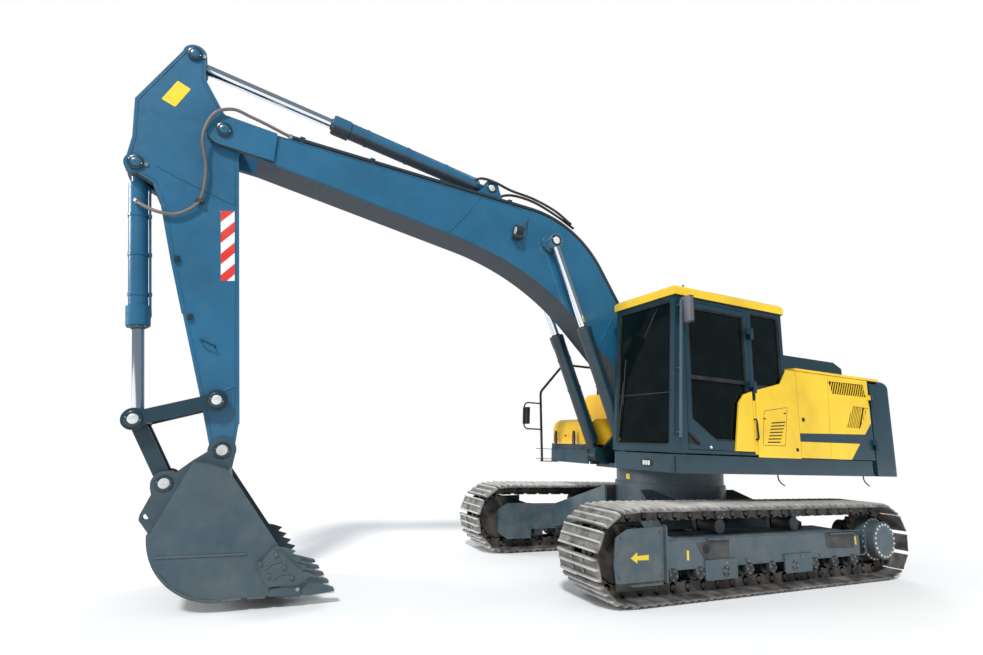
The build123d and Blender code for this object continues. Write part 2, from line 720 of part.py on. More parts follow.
with BuildPart() as carrier_rollers:
    for sign in (1, -1):
        middle = sign * GAUGE / 2
        for x in CARRIER_X:
            hub = (x, RUN_HIGH - CARRIER_R - SEAT_GAP)
            disc(hub, CARRIER_R, middle - CARRIER_HALF, middle + CARRIER_HALF)
            edges = sorted((middle - sign * FRAME_HALF, middle - sign * CARRIER_HALF))
            disc(hub, ROLLER_HUB, edges[0], edges[1])
            edges = sorted((middle - sign * FRAME_HALF, middle - sign * (FRAME_HALF - YOKE_THICK)))
            block(x - CARRIER_POST, x + CARRIER_POST, edges[0], edges[1], FRAME_HIGH, hub[1] + ROLLER_HUB)
keep("carrier_rollers", carrier_rollers.part)

with BuildPart() as roller_guards:
    for sign in (1, -1):
        for x in GUARD_X:
            outline = [(x, GUARD_LOW + GUARD_THICK), (x + GUARD_THICK, GUARD_LOW),
                       (x + GUARD_LENGTH - GUARD_THICK, GUARD_LOW),
                       (x + GUARD_LENGTH, GUARD_LOW + GUARD_THICK),
                       (x + GUARD_LENGTH, GUARD_HIGH), (x, GUARD_HIGH)]
            edges = sorted((sign * (GAUGE / 2 + FRAME_HALF), sign * (GAUGE / 2 + FRAME_HALF + GUARD_THICK)))
            slab(outline, edges[0], edges[1])
keep("roller_guards", roller_guards.part)

with BuildPart() as car_body:
    for wall, mode in ((0, Mode.ADD), (LEG_WALL, Mode.SUBTRACT)):
        for x_sign in (1, -1):
            for y_sign in (1, -1):
                root = Plane(origin=(SWING_X + x_sign * LEG_ROOT[0], y_sign * LEG_ROOT[1],
                                     LEG_ROOT[2] - wall),
                             x_dir=(1, 0, 0), z_dir=(0, y_sign, 0))
                tip = Plane(origin=(SWING_X + x_sign * LEG_TIP_X, y_sign * (GAUGE / 2 - FRAME_HALF),
                                    LEG_TIP_Z - wall),
                            x_dir=(1, 0, 0), z_dir=(0, y_sign, 0))
                with BuildSketch(root) as root_end:
                    Rectangle(LEG_ROOT_SIZE[0] - 2 * wall, LEG_ROOT_SIZE[1])
                with BuildSketch(tip) as tip_end:
                    Rectangle(LEG_TIP_SIZE[0] - 2 * wall, LEG_TIP_SIZE[1])
                loft([root_end.sketch, tip_end.sketch], mode=mode)
    post(0, 0, BODY_R, BODY_LOW, BODY_HIGH)
    post(0, 0, BEARING_BORE, BODY_LOW + SPINE_PLATE, BODY_HIGH, Mode.SUBTRACT)
keep("car_body", car_body.part)

with BuildPart() as swing_bearing:
    post(0, 0, BEARING_R, BODY_HIGH, BEARING_HIGH)
    post(0, 0, BEARING_BORE, BODY_HIGH, BEARING_HIGH, Mode.SUBTRACT)
keep("swing_bearing", swing_bearing.part)

# Slewing frame with the boom cheeks and lift lugs
with BuildPart() as main_frame:
    block(DECK_REAR, SPINE_FRONT, -SPINE_HALF, SPINE_HALF, BEARING_HIGH + SEAT_GAP,
          BEARING_HIGH + SPINE_PLATE)
    post(0, 0, BEARING_R, BEARING_HIGH + SEAT_GAP, BEARING_HIGH + SPINE_PLATE)
    with BuildSketch(level(DECK_LOW)) as left_deck:
        with Locations(((DECK_REAR + DECK_FRONT) / 2, (SPINE_HALF + DECK_HALF) / 2)):
            RectangleRounded(DECK_FRONT - DECK_REAR, DECK_HALF - SPINE_HALF, DECK_CORNER)
        with Locations(((DECK_REAR + DECK_FRONT_RIGHT) / 2, -(SPINE_HALF + DECK_HALF) / 2)):
            RectangleRounded(DECK_FRONT_RIGHT - DECK_REAR, DECK_HALF - SPINE_HALF, DECK_CORNER)
    extrude(left_deck.sketch, amount=DECK_HIGH - DECK_LOW)
    block(DECK_REAR + DECK_PLATE, DECK_FRONT - DECK_PLATE, SPINE_HALF + DECK_PLATE, DECK_HALF - DECK_PLATE,
          DECK_LOW, DECK_HIGH - DECK_PLATE, Mode.SUBTRACT)
    block(DECK_REAR + DECK_PLATE, DECK_FRONT_RIGHT - DECK_PLATE, -DECK_HALF + DECK_PLATE,
          -SPINE_HALF - DECK_PLATE,
          DECK_LOW, DECK_HIGH - DECK_PLATE, Mode.SUBTRACT)
    block(DECK_REAR, SPINE_FRONT, -SPINE_HALF - DECK_PLATE, SPINE_HALF + DECK_PLATE,
          BEARING_HIGH + SEAT_GAP,
          BEARING_HIGH + SPINE_PLATE + DECK_PLATE)
    block(DECK_REAR, CHEEK_REAR, -SPINE_HALF, SPINE_HALF, DECK_HIGH - DECK_PLATE, DECK_HIGH)
    cheek = [(CHEEK_REAR, BEARING_HIGH + SPINE_PLATE), (SPINE_FRONT, BEARING_HIGH + SPINE_PLATE),
             (SPINE_FRONT, LIFT_FOOT[1] + LUG_R), (BOOM_FOOT[0] + CHEEK_BOSS, BOOM_FOOT[1]),
             (BOOM_FOOT[0] - CHEEK_BOSS, BOOM_FOOT[1]), (CHEEK_REAR, DECK_HIGH)]
    slabs(cheek, CHEEK_IN, CHEEK_OUT)
    discs(BOOM_FOOT, CHEEK_BOSS, CHEEK_IN, CHEEK_OUT)
    discs(BOOM_FOOT, CAP_R, CHEEK_OUT, CHEEK_OUT + CAP_OUT)
    disc(BOOM_FOOT, FOOT_PIN, -CHEEK_IN, CHEEK_IN)
    lug = [(SPINE_FRONT - LUG_R, BEARING_HIGH + SEAT_GAP), (LIFT_FOOT[0], LIFT_FOOT[1] - LUG_R),
           (LIFT_FOOT[0], LIFT_FOOT[1] + LUG_R), (SPINE_FRONT - LUG_R, LIFT_FOOT[1] + LUG_R)]
    for inner in (LUG_IN, LIFT_Y + LIFT_HALF + MOVE_GAP):
        slabs(lug, inner, inner + LUG_THICK)
        discs(LIFT_FOOT, LUG_R, inner, inner + LUG_THICK)
    discs(LIFT_FOOT, LIFT_PIN, LUG_IN, LIFT_Y + LIFT_HALF + MOVE_GAP + LUG_THICK)
keep("main_frame", main_frame.part)

with BuildPart() as counterweight:
    with BuildSketch(level(WEIGHT_LOW)) as weight_plan:
        with BuildLine():
            edge = DECK_HALF - MOVE_GAP
            Line((WEIGHT_FRONT, -edge), (WEIGHT_FRONT, edge))
            Line((WEIGHT_FRONT, edge), (WEIGHT_SIDE, edge))
            ThreePointArc((WEIGHT_SIDE, edge), (-TAIL_R, 0), (WEIGHT_SIDE, -edge))
            Line((WEIGHT_SIDE, -edge), (WEIGHT_FRONT, -edge))
        make_face()
    extrude(weight_plan.sketch, amount=WEIGHT_HIGH - WEIGHT_LOW)
    corners = counterweight.edges().filter_by(Axis.Z).sort_by(Axis.X)[:2]
    fillet(corners, WEIGHT_CORNER)
    fillet(counterweight.edges().group_by(Axis.Z)[-1].sort_by(Axis.X)[:5], WEIGHT_ROUND)
    block(HOOD_REAR - WEIGHT_REBATE, WEIGHT_FRONT, -edge, edge, WEIGHT_STEP, WEIGHT_HIGH, Mode.SUBTRACT)
    block(WEIGHT_SIDE, WEIGHT_FRONT, WEIGHT_WALL - edge, edge - WEIGHT_WALL, DECK_HIGH,
          WEIGHT_HIGH - WEIGHT_WALL, Mode.SUBTRACT)
    for y in (EYE_SPACING / 2, -EYE_SPACING / 2):
        post(EYE_X, y, EYE_HOLE, WEIGHT_HIGH - EYE_DEPTH, WEIGHT_HIGH, Mode.SUBTRACT)
    for z in DOOR_HINGES:
        hinge_seat(REAR_HINGE_X, HINGE_Y, z, WEIGHT_FRONT - HINGE_R, edge)
        hinge_seat(REAR_HINGE_X, -HINGE_Y, z, WEIGHT_FRONT - HINGE_R, -edge)
    for y in (HOOD_HALF - 2 * HOOD_EAR, -HOOD_HALF + 2 * HOOD_EAR):
        block(HOOD_REAR - 3 * HOOD_PIN - MOVE_GAP, HOOD_REAR - MOVE_GAP - HOOD_PIN, y - HOOD_EAR,
              y + HOOD_EAR,
              WEIGHT_STEP - HOOD_EAR, HOOD_HUB[1])
        disc(HOOD_HUB, HOOD_PIN, y - 2 * HOOD_EAR, y + HOOD_EAR)
keep("counterweight", counterweight.part)

with BuildPart() as engine:
    block(*ENGINE)
keep("engine", engine.part)

# Side covers
with BuildPart() as left_side_door:
    block(REAR_DOOR[0], REAR_DOOR[1], DECK_HALF - PANEL_THICK, DECK_HALF, PANEL_LOW, PANEL_HIGH)
    for corners, count, ahead in zip((GRILLE_TOP, GRILLE_LOW), GRILLE_COUNTS, GRILLE_AHEAD):
        grille(corners, count, ahead, DECK_HALF - PANEL_THICK, DECK_HALF)
    for z in DOOR_HINGES:
        hinge_leaf(REAR_HINGE_X, HINGE_Y, z, REAR_DOOR[0] + 2 * HINGE_R, DECK_HALF)
keep("left_side_door", left_side_door.part)

with BuildPart() as right_side_door:
    block(REAR_DOOR[0], REAR_DOOR[1], -DECK_HALF, PANEL_THICK - DECK_HALF, PANEL_LOW, PANEL_HIGH)
    for corners, count, ahead in zip((GRILLE_TOP, GRILLE_LOW), GRILLE_COUNTS, GRILLE_AHEAD):
        grille(corners, count, ahead, -DECK_HALF, PANEL_THICK - DECK_HALF)
    for z in DOOR_HINGES:
        hinge_leaf(REAR_HINGE_X, -HINGE_Y, z, REAR_DOOR[0] + 2 * HINGE_R, -DECK_HALF)
keep("right_side_door", right_side_door.part)

with BuildPart() as left_front_panel:
    outline = [(FRONT_PANEL[0], DECK_HIGH), (FRONT_PANEL[1], DECK_HIGH), (FRONT_PANEL[1], PANEL_SADDLE),
               PANEL_RISE, (CAB_REAR, PANEL_HIGH), (FRONT_PANEL[0], PANEL_HIGH)]
    slab(outline, CAB_LEFT, DECK_HALF)
    block(FRONT_PANEL[0], CAB_REAR - MOVE_GAP, DECK_HALF - PANEL_THICK, DECK_HALF, DECK_HIGH, PANEL_HIGH)
    for step in range(LOUVRE_COUNT):
        front = between(LOUVRES[0], LOUVRES[1], step / (LOUVRE_COUNT - 1))
        rear = between(LOUVRES[3], LOUVRES[2], step / (LOUVRE_COUNT - 1))
        strap(front, rear, SLAT / 2, DECK_HALF - LOUVRE_DEPTH, DECK_HALF, Mode.SUBTRACT)
keep("left_front_panel", left_front_panel.part)

with BuildPart() as right_front_panel:
    block(FRONT_PANEL[0], TANK[0] - MOVE_GAP, -DECK_HALF, PANEL_THICK - DECK_HALF, DECK_HIGH, PANEL_HIGH)
keep("right_front_panel", right_front_panel.part)

with BuildPart() as hood_wings:
    for sign in (1, -1):
        edges = sorted((sign * (HOOD_HALF + MOVE_GAP), sign * DECK_HALF))
        block(HOOD_REAR - WEIGHT_REBATE + MOVE_GAP, HOOD_SIDE_FRONT, edges[0], edges[1],
              PANEL_HIGH + MOVE_GAP,
              PANEL_HIGH + MOVE_GAP + HOOD_WALL)
        edges = sorted((sign * (HOOD_HALF + MOVE_GAP), sign * (HOOD_HALF + MOVE_GAP + HOOD_WALL)))
        block(WEIGHT_FRONT, HOOD_SIDE_FRONT, edges[0], edges[1], DECK_HIGH, PANEL_HIGH + MOVE_GAP)
keep("hood_wings", hood_wings.part)

with BuildPart() as engine_hood:
    hood_low = PANEL_HIGH + MOVE_GAP
    shell = [(HOOD_FRONT, hood_low), (HOOD_REAR, hood_low), (HOOD_REAR, HOOD_HIGH - HOOD_DROP),
             (HOOD_REAR + HOOD_TAIL, HOOD_HIGH), (HOOD_FRONT, HOOD_HIGH)]
    inner = [(HOOD_FRONT - HOOD_WALL, PANEL_HIGH), (HOOD_REAR + HOOD_WALL, PANEL_HIGH),
             (HOOD_REAR + HOOD_WALL, HOOD_HIGH - HOOD_DROP - HOOD_WALL),
             (HOOD_REAR + HOOD_TAIL, HOOD_HIGH - HOOD_WALL),
             (HOOD_FRONT - HOOD_WALL, HOOD_HIGH - HOOD_WALL)]
    slab(shell, -HOOD_HALF, HOOD_HALF)
    slab(inner, HOOD_WALL - HOOD_HALF, HOOD_HALF - HOOD_WALL, Mode.SUBTRACT)
    for y in (HOOD_HALF - 4 * HOOD_EAR, -HOOD_HALF):
        disc(HOOD_HUB, 2 * HOOD_PIN, y, y + HOOD_EAR)
        block(HOOD_HUB[0], HOOD_REAR + HOOD_WALL, y, y + HOOD_EAR, hood_low, HOOD_HUB[1] + 2 * HOOD_PIN)
        disc(HOOD_HUB, HOOD_PIN + PIN_GAP, y, y + HOOD_EAR, Mode.SUBTRACT)
keep("engine_hood", engine_hood.part)

# Right front: tank and tool box
with BuildPart() as fuel_tank:
    block(*TANK)
    fillet(fuel_tank.edges().group_by(Axis.Z)[-1], TANK_ROUND)
    block(TANK[0] + TANK_WALL, TANK[1] - TANK_WALL, TANK[2] + TANK_WALL, TANK[3] - TANK_WALL, TANK[4],
          TANK[5] - TANK_ROUND - TANK_WALL, Mode.SUBTRACT)
keep("fuel_tank", fuel_tank.part)

with BuildPart() as tool_box:
    block(*BOX)
    block(BOX[0] + BOX_WALL, BOX[1] - BOX_WALL, BOX[2] + BOX_WALL, BOX[3] - BOX_WALL, BOX[4] + BOX_WALL,
          BOX[5],
          Mode.SUBTRACT)
    for y in (BOX[2] + 4 * LID_EAR, BOX[3] - 4 * LID_EAR):
        block(LID_HUB[0] - LID_PIN, LID_HUB[0] + LID_PIN, y - LID_EAR, y, BOX[4], LID_HUB[1])
        block(LID_HUB[0], BOX[0], y - LID_EAR, y, BOX[4], BOX[5])
        disc(LID_HUB, 2 * LID_PIN, y - LID_EAR, y)
        disc(LID_HUB, LID_PIN, y, y + LID_EAR)
keep("tool_box", tool_box.part)

with BuildPart() as tool_box_lid:
    for inset, mode in ((0, Mode.ADD), (BOX_WALL, Mode.SUBTRACT)):
        low = BOX[5] + MOVE_GAP
        top = LID_HIGH - inset
        front = BOX[1] - inset
        bend = LID_ROUND - inset
        middle = (front - bend + bend * DIAGONAL, top - bend + bend * DIAGONAL)
        with BuildSketch(side(BOX[3] - inset)) as lid_side:
            with BuildLine():
                Polyline((front, top - bend), (front, low), (BOX[0] + inset, low), (BOX[0] + inset, top),
                         (front - bend, top))
                ThreePointArc((front - bend, top), middle, (front, top - bend))
            make_face()
        extrude(lid_side.sketch, amount=BOX[3] - BOX[2] - 2 * inset, mode=mode)
        if mode == Mode.ADD:
            fillet(tool_box_lid.edges().filter_by(Axis.X).group_by(Axis.Z)[-1].sort_by(Axis.Y)[0],
                   LID_SIDE_ROUND)
    for y in (BOX[2] + 4 * LID_EAR, BOX[3] - 4 * LID_EAR):
        disc(LID_HUB, 2 * LID_PIN, y + SEAT_GAP, y + LID_EAR)
        block(LID_HUB[0], BOX[0] + LID_PIN, y + SEAT_GAP, y + LID_EAR, LID_HUB[1], LID_HUB[1] + LID_PIN)
        disc(LID_HUB, LID_PIN + PIN_GAP, y, y + LID_EAR, Mode.SUBTRACT)
keep("tool_box_lid", tool_box_lid.part)

with BuildPart() as right_handrail:
    tube(RAIL_PATH, RAIL_BEND, RAIL_Y, RAIL_R)
    tube(LOOP_PATH, LOOP_BEND, RAIL_Y, LOOP_R)
    block(RAIL_FOOT[0], RAIL_FOOT[1], RAIL_Y - RAIL_R, RAIL_Y + RAIL_R, DECK_LOW - RAIL_FOOT[2], DECK_LOW)
keep("right_handrail", right_handrail.part)

# Cab
cab_side = [(CAB_REAR, CAB_LOW), (CAB_FRONT, CAB_LOW), (cab_front(CAB_HIGH), CAB_HIGH),
            (CAB_REAR, CAB_HIGH)]
cab_inner = [(CAB_REAR + CAB_WALL, CAB_LOW + CAB_WALL), (cab_front(CAB_LOW) - CAB_WALL, CAB_LOW + CAB_WALL),
             (cab_front(CAB_HIGH) - CAB_WALL, CAB_HIGH), (CAB_REAR + CAB_WALL, CAB_HIGH)]
screen = (CAB_LOW + SILL, CAB_HIGH - HEADER)
screen_height = (screen[1] - screen[0]) * hypot(CAB_LEAN, CAB_HIGH - CAB_LOW) / (CAB_HIGH - CAB_LOW)
screen_middle = (screen[0] + screen[1]) / 2
rear_middle = (QUARTER_LOW + screen[1]) / 2


screen_plane = Plane(origin=(SWING_X + cab_front(screen_middle), 0, screen_middle), x_dir=(0, 1, 0),
                     z_dir=(CAB_HIGH - CAB_LOW, 0, CAB_LEAN))
rear_plane = Plane(origin=(SWING_X + CAB_REAR, 0, rear_middle), x_dir=(0, -1, 0), z_dir=(-1, 0, 0))
with BuildPart() as cab_shell:
    slab(cab_side, CAB_RIGHT, CAB_LEFT)
    slab(cab_inner, CAB_RIGHT + CAB_WALL, CAB_LEFT - CAB_WALL, Mode.SUBTRACT)
    cross_window(screen_plane.offset(CAB_WALL), CAB_RIGHT + PILLAR, CAB_LEFT - PILLAR, screen_height,
                 3 * CAB_WALL,
                 Mode.SUBTRACT)
    cross_window(rear_plane, PILLAR - CAB_LEFT, -CAB_RIGHT - PILLAR, screen[1] - QUARTER_LOW, CAB_WALL,
                 Mode.SUBTRACT)
    block(DOOR_REAR - MOVE_GAP, DOOR_FRONT + MOVE_GAP, CAB_LEFT - CAB_WALL, CAB_LEFT, DOOR_LOW - MOVE_GAP,
          DOOR_HIGH + MOVE_GAP, Mode.SUBTRACT)
    window(QUARTER_REAR, DOOR_REAR - PILLAR, QUARTER_LOW, screen[1], CAB_LEFT - CAB_WALL, CAB_LEFT,
           Mode.SUBTRACT)
    window(QUARTER_REAR, DOOR_FRONT, SIDE_GLASS_LOW, screen[1], CAB_RIGHT, CAB_RIGHT + CAB_WALL,
           Mode.SUBTRACT)
    for x in (CAB_REAR + 2 * MOUNT_R, CAB_FRONT - 3 * MOUNT_R):
        for y in (CAB_RIGHT + 2 * MOUNT_R, CAB_LEFT - 2 * MOUNT_R):
            post(x, y, MOUNT_R, DECK_HIGH, CAB_LOW)
    for z in CAB_HINGES:
        hinge_seat(HINGE_X, HINGE_Y, z, HINGE_X - HINGE_R, CAB_LEFT)
keep("cab_shell", cab_shell.part)

with BuildPart() as cab_roof:
    block(CAB_REAR - ROOF_OVER, cab_front(CAB_HIGH) + ROOF_OVER, CAB_RIGHT - ROOF_OVER,
          CAB_LEFT + ROOF_OVER,
          CAB_HIGH, ROOF_HIGH)
    fillet(cab_roof.edges().group_by(Axis.Z)[-1], ROOF_ROUND)
    block(CAB_REAR + CAB_WALL, cab_front(CAB_HIGH) - CAB_WALL, CAB_RIGHT + CAB_WALL, CAB_LEFT - CAB_WALL,
          CAB_HIGH,
          ROOF_HIGH - ROOF_WALL, Mode.SUBTRACT)
keep("cab_roof", cab_roof.part)

with BuildPart() as cab_glass:
    cross_window(screen_plane.offset(-GLASS_IN), CAB_RIGHT + PILLAR, CAB_LEFT - PILLAR, screen_height,
                 GLASS)
    cross_window(rear_plane.offset(-GLASS_IN), PILLAR - CAB_LEFT, -CAB_RIGHT - PILLAR,
                 screen[1] - QUARTER_LOW, GLASS)
    window(QUARTER_REAR, DOOR_REAR - PILLAR, QUARTER_LOW, screen[1], CAB_LEFT - GLASS_IN - GLASS,
           CAB_LEFT - GLASS_IN)
    window(QUARTER_REAR, DOOR_FRONT, SIDE_GLASS_LOW, screen[1], CAB_RIGHT + GLASS_IN,
           CAB_RIGHT + GLASS_IN + GLASS)
keep("cab_glass", cab_glass.part)

door_pane = [(DOOR_REAR + DOOR_RAIL, DOOR_LOW + DOOR_SILL), (DOOR_SLANT[0], DOOR_LOW + DOOR_SILL),
             (DOOR_FRONT - DOOR_RAIL, DOOR_SLANT[1]), (DOOR_FRONT - DOOR_RAIL, DOOR_HIGH - DOOR_RAIL),
             (DOOR_REAR + DOOR_RAIL, DOOR_HIGH - DOOR_RAIL)]
with BuildPart() as cab_door:
    block(DOOR_REAR, DOOR_FRONT, CAB_LEFT - DOOR_THICK, CAB_LEFT, DOOR_LOW, DOOR_HIGH)
    slab(door_pane, CAB_LEFT - DOOR_THICK, CAB_LEFT, Mode.SUBTRACT)
    block(DOOR_REAR, DOOR_FRONT, CAB_LEFT - DOOR_THICK, CAB_LEFT, DOOR_BAR[0], DOOR_BAR[1])
    for z in CAB_HINGES:
        hinge_leaf(HINGE_X, HINGE_Y, z, DOOR_REAR + 2 * HINGE_R, CAB_LEFT)
keep("cab_door", cab_door.part)

with BuildPart() as door_glass:
    slab(door_pane, CAB_LEFT - GLASS_IN - GLASS, CAB_LEFT - GLASS_IN)
    block(DOOR_REAR, DOOR_FRONT, CAB_LEFT - DOOR_THICK, CAB_LEFT, DOOR_BAR[0], DOOR_BAR[1], Mode.SUBTRACT)
keep("door_glass", door_glass.part)

with BuildPart() as door_panel:
    slab([(DOOR_REAR, DOOR_LOW), *DOOR_PANEL], CAB_LEFT, DECK_HALF)
keep("door_panel", door_panel.part)

with BuildPart() as seat:
    block(SEAT_BASE[0], SEAT_BASE[1], SEAT_Y - SEAT_BASE[2], SEAT_Y + SEAT_BASE[2], CAB_LOW + CAB_WALL,
          SEAT_Z[0])
    block(SEAT_X[0], SEAT_X[1], SEAT_Y - SEAT_HALF, SEAT_Y + SEAT_HALF, SEAT_Z[0], SEAT_Z[1])
    slab(SEAT_BACK, SEAT_Y - SEAT_HALF, SEAT_Y + SEAT_HALF)
    slab(SEAT_HEAD, SEAT_Y - SEAT_HEAD_HALF, SEAT_Y + SEAT_HEAD_HALF)
keep("seat", seat.part)

with BuildPart() as consoles:
    for sign in (1, -1):
        edges = sorted((SEAT_Y + sign * CONSOLE_Y[0], SEAT_Y + sign * CONSOLE_Y[1]))
        middle = (edges[0] + edges[1]) / 2
        block(CONSOLE_X[0], CONSOLE_X[1], edges[0], edges[1], CAB_LOW + CAB_WALL, CONSOLE_HIGH)
        post(STICK_X, middle, STICK_R, CONSOLE_HIGH, STICK_HIGH)
        post(STICK_X, middle, KNOB_R, STICK_HIGH - KNOB, STICK_HIGH)
        lever_y = SEAT_Y + sign * LEVER_SPREAD
        post(LEVER_X, lever_y, STICK_R, CAB_LOW + CAB_WALL, LEVER_HIGH)
        post(LEVER_X, lever_y, KNOB_R, LEVER_HIGH - KNOB, LEVER_HIGH)
        block(LEVER_X, LEVER_X + PEDAL, lever_y - STICK_R, lever_y + PEDAL, CAB_LOW + CAB_WALL,
              CAB_LOW + CAB_WALL + PEDAL)
keep("consoles", consoles.part)

with BuildPart() as cab_handrail:
    foot = (cab_front(GRIP_Z[0]) - GRIP_IN, GRIP_Z[0] - GRIP_OUT)
    head = (cab_front(GRIP_Z[2]) - GRIP_IN, GRIP_Z[2] + GRIP_OUT)
    rod(foot, head, CAB_LEFT + GRIP_OUT, GRIP_R)
    for z in GRIP_Z:
        disc((cab_front(z) - GRIP_IN, z), GRIP_POST, CAB_LEFT, CAB_LEFT + GRIP_OUT)
keep("cab_handrail", cab_handrail.part)

with BuildPart() as mirrors:
    inner = CAB_LEFT + MIRROR_ARM
    block(MIRROR_X, MIRROR_X + MIRROR[0], inner, inner + MIRROR[1], MIRROR_HIGH - MIRROR_TALL, MIRROR_HIGH)
    disc((MIRROR_X + MIRROR[0] / 2, MIRROR_HIGH - MIRROR_ARM), LOOP_R, CAB_LEFT, inner)
    block(LOOP_PATH[1][0] - LOOP_R - MIRROR[0], LOOP_PATH[1][0] - LOOP_R, RAIL_Y - MIRROR[1] / 2,
          RAIL_Y + MIRROR[1] / 2,
          MIRROR_LOW, MIRROR_LOW + MIRROR[2])
keep("mirrors", mirrors.part)

# Boom
with BuildPart() as boom:
    with BuildSketch(side(BOOM_HALF)) as boom_side:
        with BuildLine():
            FilletPolyline(*BOOM_TOP, radius=BOOM_TOP_BEND)
            Line(BOOM_TOP[2], BOOM_LOW[2])
            FilletPolyline(*reversed(BOOM_LOW), radius=BOOM_LOW_BEND)
            Line(BOOM_LOW[0], BOOM_TOP[0])
        make_face()
    extrude(boom_side.sketch, amount=2 * BOOM_HALF)
    with BuildSketch(side(BOOM_HALF - BOOM_PLATE)) as boom_void:
        add(boom_side.sketch_local)
        offset(amount=-BOOM_PLATE, mode=Mode.REPLACE)
    extrude(boom_void.sketch, amount=2 * (BOOM_HALF - BOOM_PLATE), mode=Mode.SUBTRACT)
    disc(BOOM_FOOT, FOOT_BOSS, -FOOT_HALF, FOOT_HALF)
    disc(BOOM_FOOT, FOOT_PIN + PIN_GAP, -FOOT_HALF, FOOT_HALF, Mode.SUBTRACT)
    block(NOSE_CUT, ARM_PIVOT[0], -NOSE_IN, NOSE_IN, BOOM_LOW[1][1], CROWD_FOOT[1], Mode.SUBTRACT)
    nose = [(NOSE_ROOT, BOOM_TOP[2][1]), (ARM_PIVOT[0], ARM_PIVOT[1] + NOSE_R),
            (ARM_PIVOT[0], ARM_PIVOT[1] - NOSE_R),
            (NOSE_ROOT, BOOM_LOW[2][1])]
    slabs(nose, NOSE_IN, NOSE_OUT)
    discs(ARM_PIVOT, NOSE_R, NOSE_IN, NOSE_OUT)
    discs(ARM_PIVOT, CAP_R, NOSE_OUT, NOSE_OUT + CAP_OUT)
    disc(ARM_PIVOT, ARM_PIN, -NOSE_IN, NOSE_IN)
    discs(LIFT_EYE, LIFT_BOSS_R, BOOM_HALF - BOOM_PLATE, LIFT_Y - LIFT_HALF - MOVE_GAP)
    crowd_ear = [(CROWD_BASE[0], CROWD_BASE_Z), (CROWD_BASE[1], CROWD_BASE_Z),
                 (CROWD_FOOT[0] + CROWD_EAR_R, CROWD_FOOT[1]), (CROWD_FOOT[0] - CROWD_EAR_R, CROWD_FOOT[1])]
    slabs(crowd_ear, CROWD_EAR_IN, CROWD_EAR_OUT)
    discs(CROWD_FOOT, CROWD_EAR_R, CROWD_EAR_IN, CROWD_EAR_OUT)
    disc(CROWD_FOOT, CROWD_PIN, -CROWD_EAR_IN, CROWD_EAR_IN)
keep("boom", boom.part)


def beside(start, end, share, rise):
    """Point above the boom's upper edge, square to it, at a share of one of its two runs."""
    place = between(start, end, share)
    length = hypot(end[0] - start[0], end[1] - start[1])
    return (place[0] - rise * (end[1] - start[1]) / length, place[1] + rise * (end[0] - start[0]) / length)


with BuildPart() as boom_pipes:
    for y in PIPE_Y:
        tube(PIPE_PATH, PIPE_BEND, y, PIPE_R)
    for start, end, shares in ((BOOM_TOP[0], BOOM_TOP[1], CLAMP_LOW),
                               (BOOM_TOP[1], BOOM_TOP[2], CLAMP_HIGH)):
        half = CLAMP_HALF / hypot(end[0] - start[0], end[1] - start[1])
        for share in shares:
            corners = [beside(start, end, share - half, SEAT_GAP),
                       beside(start, end, share + half, SEAT_GAP),
                       beside(start, end, share + half, CLAMP_TOP), beside(start, end, share - half,
                                                                           CLAMP_TOP)]
            slab(corners, PIPE_Y[0] - PIPE_R - CLAMP_EDGE, PIPE_Y[1] + PIPE_R + CLAMP_EDGE)
keep("boom_pipes", boom_pipes.part)

with BuildPart() as work_lamps:
    rod((LAMP[0] - LAMP_LENGTH / 2, LAMP[1]), (LAMP[0] + LAMP_LENGTH / 2, LAMP[1]), LAMP_Y, LAMP_R)
    block(LAMP[0] - LAMP_FOOT / 2, LAMP[0] + LAMP_FOOT / 2, BOOM_HALF, LAMP_Y, LAMP[1] - LAMP_FOOT,
          LAMP[1] + LAMP_FOOT)
keep("work_lamps", work_lamps.part)

# Lift cylinders
with BuildPart() as lift_barrels:
    for y in (LIFT_Y, -LIFT_Y):
        disc(LIFT_FOOT, LIFT_EYE_R, y - LIFT_HALF, y + LIFT_HALF)
        barrel(LIFT_FOOT, LIFT_EYE, y, (LIFT_NECK, LIFT_BARREL), (LIFT_HALF, LIFT_BARREL_R, LIFT_ROD_R))
        disc(LIFT_FOOT, LIFT_PIN + PIN_GAP, y - 2 * LIFT_HALF, y + 2 * LIFT_HALF, Mode.SUBTRACT)
keep("lift_barrels", lift_barrels.part)

with BuildPart() as lift_rods:
    for y in (LIFT_Y, -LIFT_Y):
        rod(along(LIFT_FOOT, LIFT_EYE, LIFT_ROD_START), LIFT_EYE, y, LIFT_ROD_R)
        disc(LIFT_EYE, LIFT_EYE_R, y - LIFT_HALF, y + LIFT_HALF)
keep("lift_rods", lift_rods.part)

# Arm cylinder
with BuildPart() as crowd_barrel:
    disc(CROWD_FOOT, CROWD_EYE_R, -CROWD_HALF, CROWD_HALF)
    barrel(CROWD_FOOT, CROWD_EYE, 0, (CROWD_NECK, CROWD_BARREL), (CROWD_HALF, CROWD_BARREL_R, CROWD_ROD_R))
    disc(CROWD_FOOT, CROWD_PIN + PIN_GAP, -CROWD_HALF, CROWD_HALF, Mode.SUBTRACT)
keep("crowd_barrel", crowd_barrel.part)

with BuildPart() as crowd_rod:
    rod(along(CROWD_FOOT, CROWD_EYE, CROWD_ROD_START), CROWD_EYE, 0, CROWD_ROD_R)
    disc(CROWD_EYE, CROWD_EYE_R, -CROWD_HALF, CROWD_HALF)
keep("crowd_rod", crowd_rod.part)

